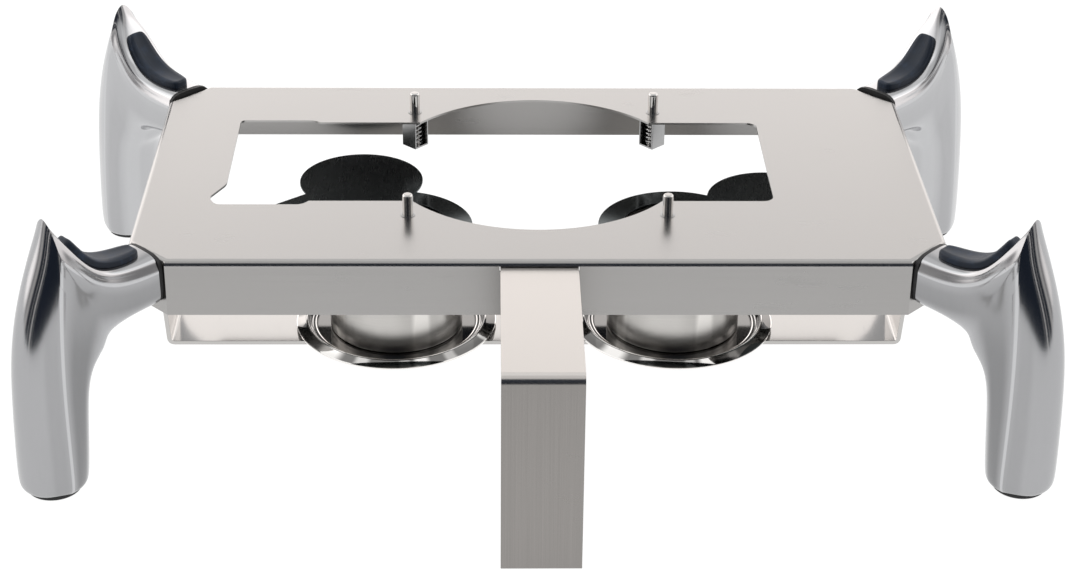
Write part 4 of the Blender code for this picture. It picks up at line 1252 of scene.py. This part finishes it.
def make_camera():
    data = bpy.data.cameras.new("camera")
    data.lens = LENS
    data.sensor_width = SENSOR_WIDTH
    data.clip_start = 0.05
    camera = object_from(data)
    turn = (
        Matrix.Rotation(math.radians(CAMERA_YAW), 4, "Z")
        @ Matrix.Rotation(math.radians(90 - CAMERA_PITCH), 4, "X")
        @ Matrix.Rotation(math.radians(CAMERA_ROLL), 4, "Z")
    )
    camera.matrix_world = Matrix.Translation(CAMERA_PLACE) @ turn
    bpy.context.scene.camera = camera


def make_softbox():
    data = bpy.data.lights.new("overhead_softbox", "AREA")
    data.shape = "RECTANGLE"
    data.size, data.size_y = SOFTBOX_SIZE
    data.energy = SOFTBOX_WATTS
    light = object_from(data)
    light.location = SOFTBOX_PLACE
    aim = Vector(SOFTBOX_TARGET) - Vector(SOFTBOX_PLACE)
    light.rotation_euler = aim.to_track_quat("-Z", "Y").to_euler()


class WARMER_OT_stage(bpy.types.Operator):
    """Pale floor, soft studio light and the camera"""

    bl_idname = "warmer.stage"
    bl_label = "Stage"

    def execute(self, context):
        context.scene.view_settings.view_transform = "Standard"
        make_floor()
        make_world()
        make_camera()
        make_softbox()
        return {"FINISHED"}


OPERATORS = (
    WARMER_OT_stage,
    WARMER_OT_frame_plate,
    WARMER_OT_strips,
    WARMER_OT_legs,
    WARMER_OT_saddle_pads,
    WARMER_OT_corner_fittings,
    WARMER_OT_locating_pins,
    WARMER_OT_burners,
    WARMER_OT_lids,
)


class WARMER_PT_panel(bpy.types.Panel):
    """Lists the pieces of the food warmer"""

    bl_idname = "WARMER_PT_panel"
    bl_label = "Food warmer"
    bl_space_type = "VIEW_3D"
    bl_region_type = "UI"
    bl_category = "Food warmer"

    def draw(self, context):
        for group in (context.scene.warmer_sizes, context.scene.warmer_colours):
            for key in group.bl_rna.properties.keys():
                if key not in ("rna_type", "name"):
                    self.layout.prop(group, key)
        for operator in OPERATORS:
            self.layout.operator(operator.bl_idname)


CLASSES = (WarmerSizes, WarmerColours, *OPERATORS, WARMER_PT_panel)


def register():
    for cls in CLASSES:
        bpy.utils.register_class(cls)
    bpy.types.Scene.warmer_sizes = PointerProperty(type=WarmerSizes)
    bpy.types.Scene.warmer_colours = PointerProperty(type=WarmerColours)


def unregister():
    del bpy.types.Scene.warmer_sizes
    del bpy.types.Scene.warmer_colours
    for cls in reversed(CLASSES):
        bpy.utils.unregister_class(cls)


def main():
    register()
    make_finishes()
    bpy.ops.warmer.stage()
    bpy.ops.warmer.frame_plate()
    bpy.ops.warmer.strips()
    bpy.ops.warmer.legs()
    bpy.ops.warmer.saddle_pads()
    bpy.ops.warmer.corner_fittings()
    bpy.ops.warmer.locating_pins()
    bpy.ops.warmer.burners()
    bpy.ops.warmer.lids()
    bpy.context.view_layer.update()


if __name__ == "__main__":
    main()
